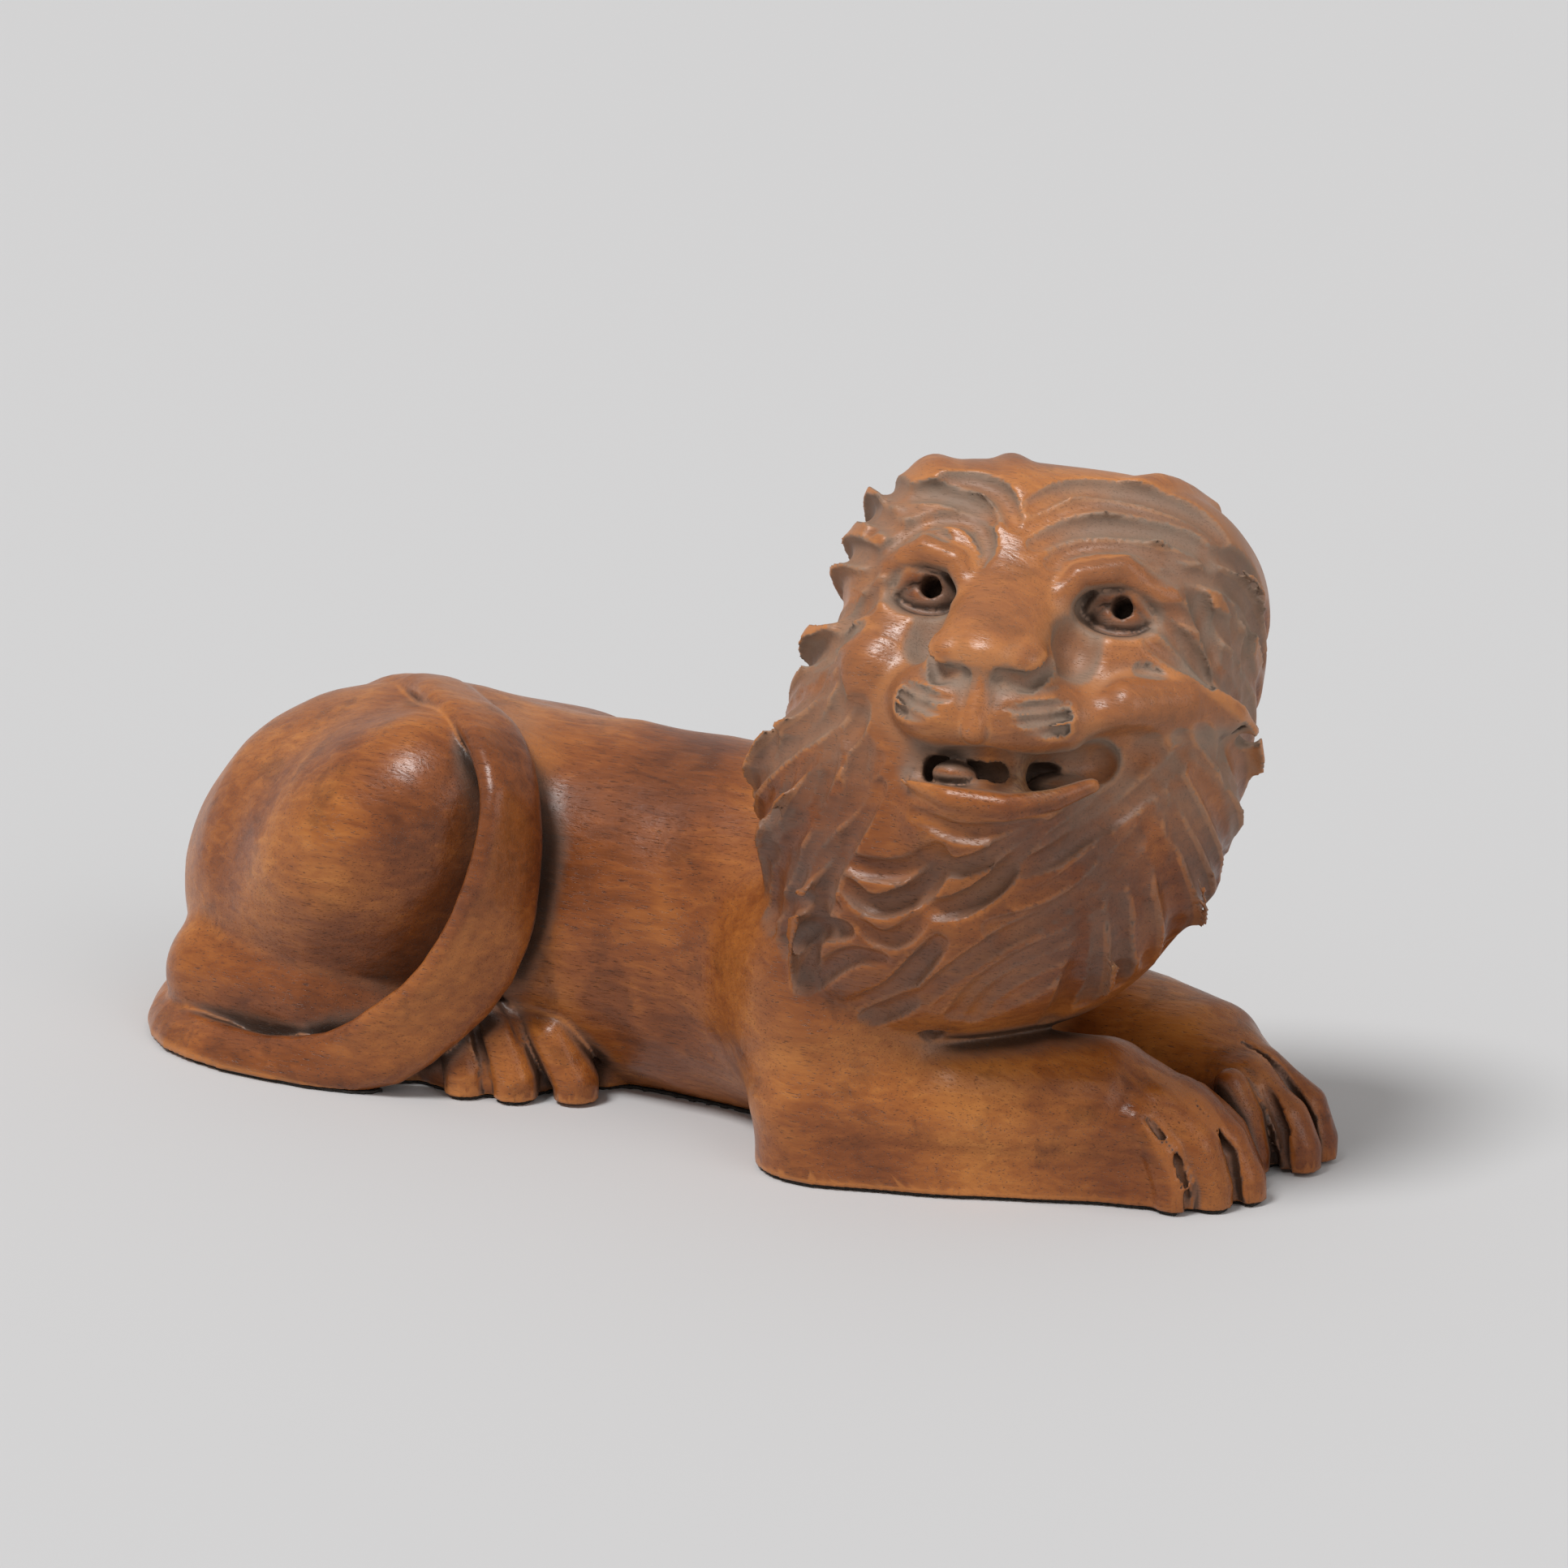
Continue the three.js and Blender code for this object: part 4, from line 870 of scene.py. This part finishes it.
def carve_lion():
    values, low = sampled(lion, (-252, -124, -4), (246, 104, 256), STEP)
    vertices, quads = largest_shell(*surface(values, low, STEP))
    obj = mesh_object("carved_lion", vertices, quads)
    thin = obj.modifiers.new("thin", "DECIMATE")
    thin.ratio = min(1.0, SHAPE_LIMIT / (2 * len(quads)))
    applied(obj)
    shaded_mesh(obj)
    points = coords(obj)
    normal = slope_in_slices(lion, points)
    # How sheltered each point lies: it drives painted shade in the hollows as well as the dust there.
    sheltered = np.zeros(len(points))
    for reach in SHADE_AND_DUST_REACHES:
        sheltered += np.clip(1 - in_slices(lion, points + normal * reach) / reach, 0, 1) / len(SHADE_AND_DUST_REACHES)
    paint(obj, "hollow", sheltered)
    # How sharp an edge each point lies on: edges are lightened partly for wear and partly as a painted
    # highlight.
    edge_wear_and_sheen = np.zeros(len(points))
    for reach in WEAR_AND_SHEEN_REACHES:
        edge_wear_and_sheen += np.clip(-in_slices(lion, points - normal * reach) / reach, 0, 1) / len(WEAR_AND_SHEEN_REACHES)
    paint(obj, "edge_wear_and_sheen", 1 - edge_wear_and_sheen)
    q = in_head(points)
    under_chin = within(q, (46, -121, -12), 24, 10)
    in_mouth = within(q, (20, -57, 8), 12, 5)
    paint(obj, "raw", np.maximum(under_chin, in_mouth * 0.4))
    # A mask of the face, strongest on its upper part and weaker over the eyes: it thickens the dust and
    # paints light on the face.
    ahead = np.clip((q[:, 2] + 75) / 20, 0, 1)
    eyes = np.max([within(q, (l, u - 1, -5), 12, 5) for l, u in EYES], axis=0)
    paint(obj, "face", ahead * (0.2 + 0.8 * np.clip((q[:, 1] + 70) / 30, 0, 1)) * (1 - 0.7 * eyes))
    # Painted shade on the beard below the mouth, in the eye sockets and at the foot of the front paws.
    beard = ahead * np.clip((-q[:, 1] - 55) / 25, 0, 1) * np.clip((q[:, 1] + 165) / 15, 0, 1)
    paws = np.clip((points[:, 0] - 168) / 24, 0, 1) * np.clip((52 - points[:, 2]) / 18, 0, 1)
    paint(obj, "painted_shade", np.max([0.75 * beard, 0.8 * paws, 0.9 * eyes], axis=0))
    return obj


FELT_INSET = 1.5
FELT_CELL = 2.0


def felt_outline(points):
    """The lion's footprint drawn in a little, as thick as the felt."""
    flat = points.copy()
    flat[:, 2] = WOOD_BOTTOM + 2.5
    ragged = 0.5 * np.sin(flat[:, 0] * 0.9 + np.sin(flat[:, 1] * 0.7) * 2) * np.sin(flat[:, 1] * 0.8)
    return lion(flat) + FELT_INSET + ragged


def felt_sheet():
    """The felt under the lion, and its area in square metres."""
    xs, ys = np.arange(-246, 244, FELT_CELL), np.arange(-116, 100, FELT_CELL)
    grid = np.stack(np.meshgrid(xs, ys, indexing="ij"), axis=-1).reshape(-1, 2)
    field = felt_outline(np.column_stack([grid, np.zeros(len(grid))])).reshape(len(xs), len(ys))
    outside = np.maximum(field, 0.5)
    values = np.stack([outside, field, field, outside], axis=-1)
    vertices, quads = largest_shell(*surface(values, np.array([xs[0], ys[0], 0.0]), FELT_CELL))
    vertices[:, 2] = np.where(vertices[:, 2] < FELT_CELL * 1.5, 0, FELT_TOP)
    obj = mesh_object("felt_underside", vertices, quads)
    shaded_mesh(obj)
    return obj, np.count_nonzero(field < 0) * (FELT_CELL / 1000) ** 2


# Materials.
def new_material(name):
    material = bpy.data.materials.new(name)
    material.use_nodes = True
    return material, material.node_tree, material.node_tree.nodes["Principled BSDF"]


def ramp(tree, source, stops, smooth=True):
    made = tree.nodes.new("ShaderNodeValToRGB")
    made.color_ramp.interpolation = "EASE" if smooth else "LINEAR"
    while len(made.color_ramp.elements) < len(stops):
        made.color_ramp.elements.new(0.5)
    for element, (place, colour) in zip(made.color_ramp.elements, stops):
        element.position = place
        element.color = (*colour, 1) if len(colour) == 3 else colour
    tree.links.new(source, made.inputs[0])
    return made.outputs[0]


def mixed(tree, factor, a, b, mode="MIX"):
    made = tree.nodes.new("ShaderNodeMix")
    made.data_type = "RGBA"
    made.blend_type = mode
    for socket, value in zip((made.inputs[0], made.inputs[6], made.inputs[7]), (factor, a, b)):
        if hasattr(value, "links"):
            tree.links.new(value, socket)
        elif isinstance(value, (int, float)):
            socket.default_value = value
        else:
            socket.default_value = (*value, 1)
    return made.outputs[2]


def calc(tree, what, *values):
    made = tree.nodes.new("ShaderNodeMath")
    made.operation = what
    for socket, value in zip(made.inputs, values):
        if hasattr(value, "links"):
            tree.links.new(value, socket)
        else:
            socket.default_value = value
    return made.outputs[0]


def noise(tree, place, scale, detail=4.0, rough=0.55, distortion=0.0):
    made = tree.nodes.new("ShaderNodeTexNoise")
    made.inputs["Scale"].default_value = scale
    made.inputs["Detail"].default_value = detail
    made.inputs["Roughness"].default_value = rough
    made.inputs["Distortion"].default_value = distortion
    tree.links.new(place, made.inputs["Vector"])
    return made.outputs["Fac"]


def stretched_place(tree, place, scale, turn=(0, 0, 0)):
    made = tree.nodes.new("ShaderNodeMapping")
    made.inputs["Scale"].default_value = scale
    made.inputs["Rotation"].default_value = turn
    tree.links.new(place, made.inputs["Vector"])
    return made.outputs[0]


def attribute(tree, name):
    made = tree.nodes.new("ShaderNodeAttribute")
    made.attribute_name = name
    return made.outputs["Fac"]


def carved_wood():
    """Waxed red-brown hardwood: grain along the body, dark blotches, dust and painted shade in the hollows,
    painted dark crevices, edges lightened for wear and as a painted highlight, a painted light tint on the
    face, painted shade around the eyes, on the beard and at the foot of the front paws.
    """
    material, tree, shader = new_material("carved_wood")
    place = tree.nodes.new("ShaderNodeTexCoord").outputs["Object"]
    grain_turn = (0.1, 0.06, 0.05)
    along = stretched_place(tree, place, (1.0, 5.0, 5.0), grain_turn)
    blotch = noise(tree, place, 11, 3, 0.5, 0.8)
    patch = noise(tree, place, 48, 5, 0.62, 0.4)
    grain = noise(tree, along, 55, 5, 0.62, 0.5)
    pores = noise(tree, stretched_place(tree, place, (1.0, 12.0, 12.0), grain_turn), 210, 2, 0.5)
    tone = calc(tree, "ADD", calc(tree, "MULTIPLY", blotch, 0.68), calc(tree, "MULTIPLY", grain, 0.32))
    wood = ramp(
        tree,
        tone,
        [
            (0.33, (0.115, 0.030, 0.0075)),
            (0.46, (0.235, 0.066, 0.0145)),
            (0.56, (0.360, 0.115, 0.0230)),
            (0.68, (0.520, 0.195, 0.0420)),
        ],
        smooth=False,
    )
    dark = ramp(tree, patch, [(0.34, (1, 1, 1)), (0.46, (0, 0, 0))])
    wood = mixed(tree, calc(tree, "MULTIPLY", dark, 0.35), wood, (0.075, 0.020, 0.006))
    pore = ramp(tree, pores, [(0.31, (1, 1, 1)), (0.39, (0, 0, 0))])
    wood = mixed(tree, calc(tree, "MULTIPLY", pore, 0.6), wood, (0.030, 0.010, 0.005))
    # Edges lightened towards orange: partly wear, partly a painted highlight.
    edge_wear_and_sheen = attribute(tree, "edge_wear_and_sheen")
    edge = ramp(tree, edge_wear_and_sheen, [(0.10, (0, 0, 0)), (0.42, (1, 1, 1))])
    wood = mixed(tree, calc(tree, "MULTIPLY", edge, 0.55), wood, (0.580, 0.215, 0.052))
    hollow = attribute(tree, "hollow")
    cloud = calc(tree, "ADD", 0.45, calc(tree, "MULTIPLY", noise(tree, place, 80, 4, 0.6), 0.8))
    # Painted shade in the hollows: the wood there is multiplied towards a grey brown, before the dust is laid
    # on.
    sheltered = ramp(tree, hollow, [(0.16, (0, 0, 0)), (0.55, (1, 1, 1))])
    shade = mixed(tree, 1.0, wood, (0.46, 0.35, 0.28), "MULTIPLY")
    wood = mixed(tree, calc(tree, "MULTIPLY", sheltered, 0.6), wood, shade)
    face = attribute(tree, "face")
    dusted = calc(tree, "ADD", 0.35, calc(tree, "MULTIPLY", face, 0.65))
    powder = calc(tree, "MULTIPLY", calc(tree, "MULTIPLY", sheltered, cloud), dusted)
    # Painted shade: the deepest hollows are to be darkened nearly to black.
    crevice_shade = ramp(tree, hollow, [(0.46, (0, 0, 0)), (0.82, (1, 1, 1))])
    # Painted light: the face is lifted towards a light orange, most on its upper part.
    wood = mixed(tree, calc(tree, "MULTIPLY", face, 0.25), wood, (0.560, 0.260, 0.120))
    # Painted shade: the wood multiplied darker on the beard, around the eyes and at the foot of the front
    # paws.
    shaded_wood = mixed(tree, 1.0, wood, (0.58, 0.48, 0.42), "MULTIPLY")
    wood = mixed(tree, attribute(tree, "painted_shade"), wood, shaded_wood)
    wood = mixed(tree, calc(tree, "MULTIPLY", powder, 0.85), wood, (0.250, 0.200, 0.155))
    # Painted shade in the deepest crevices.
    wood = mixed(tree, calc(tree, "MULTIPLY", crevice_shade, 0.75), wood, (0.022, 0.013, 0.009))
    raw = attribute(tree, "raw")
    fibres = noise(tree, stretched_place(tree, place, (1, 4, 1), (0.6, 0.2, 0)), 320, 4, 0.7)
    splinters = ramp(tree, fibres, [(0.35, (0.05, 0.022, 0.010)), (0.65, (0.34, 0.19, 0.07))])
    wood = mixed(tree, raw, wood, splinters)
    tree.links.new(wood, shader.inputs["Base Color"])
    gloss = calc(tree, "ADD", 0.20, calc(tree, "MULTIPLY", patch, 0.22))
    gloss = calc(tree, "ADD", gloss, calc(tree, "MULTIPLY", calc(tree, "MAXIMUM", powder, raw), 0.42))
    tree.links.new(gloss, shader.inputs["Roughness"])
    shader.inputs["Specular IOR Level"].default_value = 0.4
    bump = tree.nodes.new("ShaderNodeBump")
    bump.inputs["Strength"].default_value = 0.5
    bump.inputs["Distance"].default_value = 0.0005
    strokes = noise(tree, stretched_place(tree, place, (1.0, 3.0, 1.0), (0.5, 0.3, 0.2)), 120, 3, 0.6, 1.2)
    height = calc(tree, "SUBTRACT", grain, calc(tree, "MULTIPLY", pore, 0.7))
    height = calc(tree, "ADD", height, calc(tree, "MULTIPLY", strokes, 0.6))
    height = calc(tree, "ADD", height, calc(tree, "MULTIPLY", calc(tree, "MULTIPLY", splinters, raw), 4))
    tree.links.new(height, bump.inputs["Height"])
    tree.links.new(bump.outputs[0], shader.inputs["Normal"])
    return material


def dark_felt():
    material, tree, shader = new_material("dark_felt")
    place = tree.nodes.new("ShaderNodeTexCoord").outputs["Object"]
    fibres = noise(tree, place, 900, 3, 0.7, 1.0)
    colour = ramp(tree, fibres, [(0.3, (0.012, 0.010, 0.009)), (0.7, (0.05, 0.043, 0.037))])
    tree.links.new(colour, shader.inputs["Base Color"])
    shader.inputs["Roughness"].default_value = 0.95
    bump = tree.nodes.new("ShaderNodeBump")
    bump.inputs["Distance"].default_value = 0.0005
    tree.links.new(fibres, bump.inputs["Height"])
    tree.links.new(bump.outputs[0], shader.inputs["Normal"])
    return material


def pale_floor():
    material, _, shader = new_material("pale_floor")
    shader.inputs["Base Color"].default_value = (0.575, 0.575, 0.58, 1)
    shader.inputs["Roughness"].default_value = 0.85
    return material


def dressed(obj, material):
    obj.data.materials.clear()
    obj.data.materials.append(material)
    return obj


lion_piece = dressed(carve_lion(), carved_wood())
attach(lion_piece, "root")
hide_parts("lion")
felt, felt_area = felt_sheet()
felt_piece = dressed(felt, dark_felt())
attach(felt_piece, "root")
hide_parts("felt")

# The floor, the light and the camera.
LOOK_AT = Vector((0.034, -0.010, 0.118))
CAMERA_AZIMUTH, CAMERA_HEIGHT, CAMERA_DISTANCE = 33 * RAD, 14 * RAD, 1.6
CAMERA_ANGLE = 19.8 * RAD
FLOOR_SIZE = 60
SKY_COLOUR, SKY_STRENGTH = (1.0, 0.985, 0.97, 1), 0.42


def studio():
    bpy.ops.mesh.primitive_plane_add(size=FLOOR_SIZE, location=(0, 0, 0))
    floor = bpy.context.object
    floor.name = "floor"
    floor.data.materials.append(pale_floor())
    world = bpy.data.worlds.new("studio")
    world.use_nodes = True
    sky = world.node_tree.nodes["Background"]
    sky.inputs["Color"].default_value = SKY_COLOUR
    sky.inputs["Strength"].default_value = SKY_STRENGTH
    bpy.context.scene.world = world
    back = Vector(
        (
            math.sin(CAMERA_AZIMUTH) * math.cos(CAMERA_HEIGHT),
            -math.cos(CAMERA_AZIMUTH) * math.cos(CAMERA_HEIGHT),
            math.sin(CAMERA_HEIGHT),
        )
    )
    camera_data = bpy.data.cameras.new("camera")
    camera_data.angle = CAMERA_ANGLE
    camera = bpy.data.objects.new("camera", camera_data)
    camera.location = LOOK_AT + back * CAMERA_DISTANCE
    camera.rotation_euler = back.to_track_quat("Z", "Y").to_euler()
    bpy.context.scene.collection.objects.link(camera)
    bpy.context.scene.camera = camera
    right = Vector((math.cos(CAMERA_AZIMUTH), math.sin(CAMERA_AZIMUTH), 0))
    up = Vector((0, 0, 1))
    # Name, the way to the lamp, how wide it is seen in degrees, and its strength.
    lamps = (
        ("key", back * 0.42 + up * 1.0 - right * 0.5, 18, 2.35),
        ("fill", back * 0.9 + up * 0.45 + right * 0.7, 35, 0.5),
    )
    for name, way, spread_angle, strength in lamps:
        lamp = bpy.data.lights.new(name, "SUN")
        lamp.angle = spread_angle * RAD
        lamp.energy = strength
        holder = bpy.data.objects.new(name, lamp)
        holder.rotation_euler = way.to_track_quat("Z", "Y").to_euler()
        bpy.context.scene.collection.objects.link(holder)
    bpy.context.scene.view_settings.view_transform = "Standard"


studio()
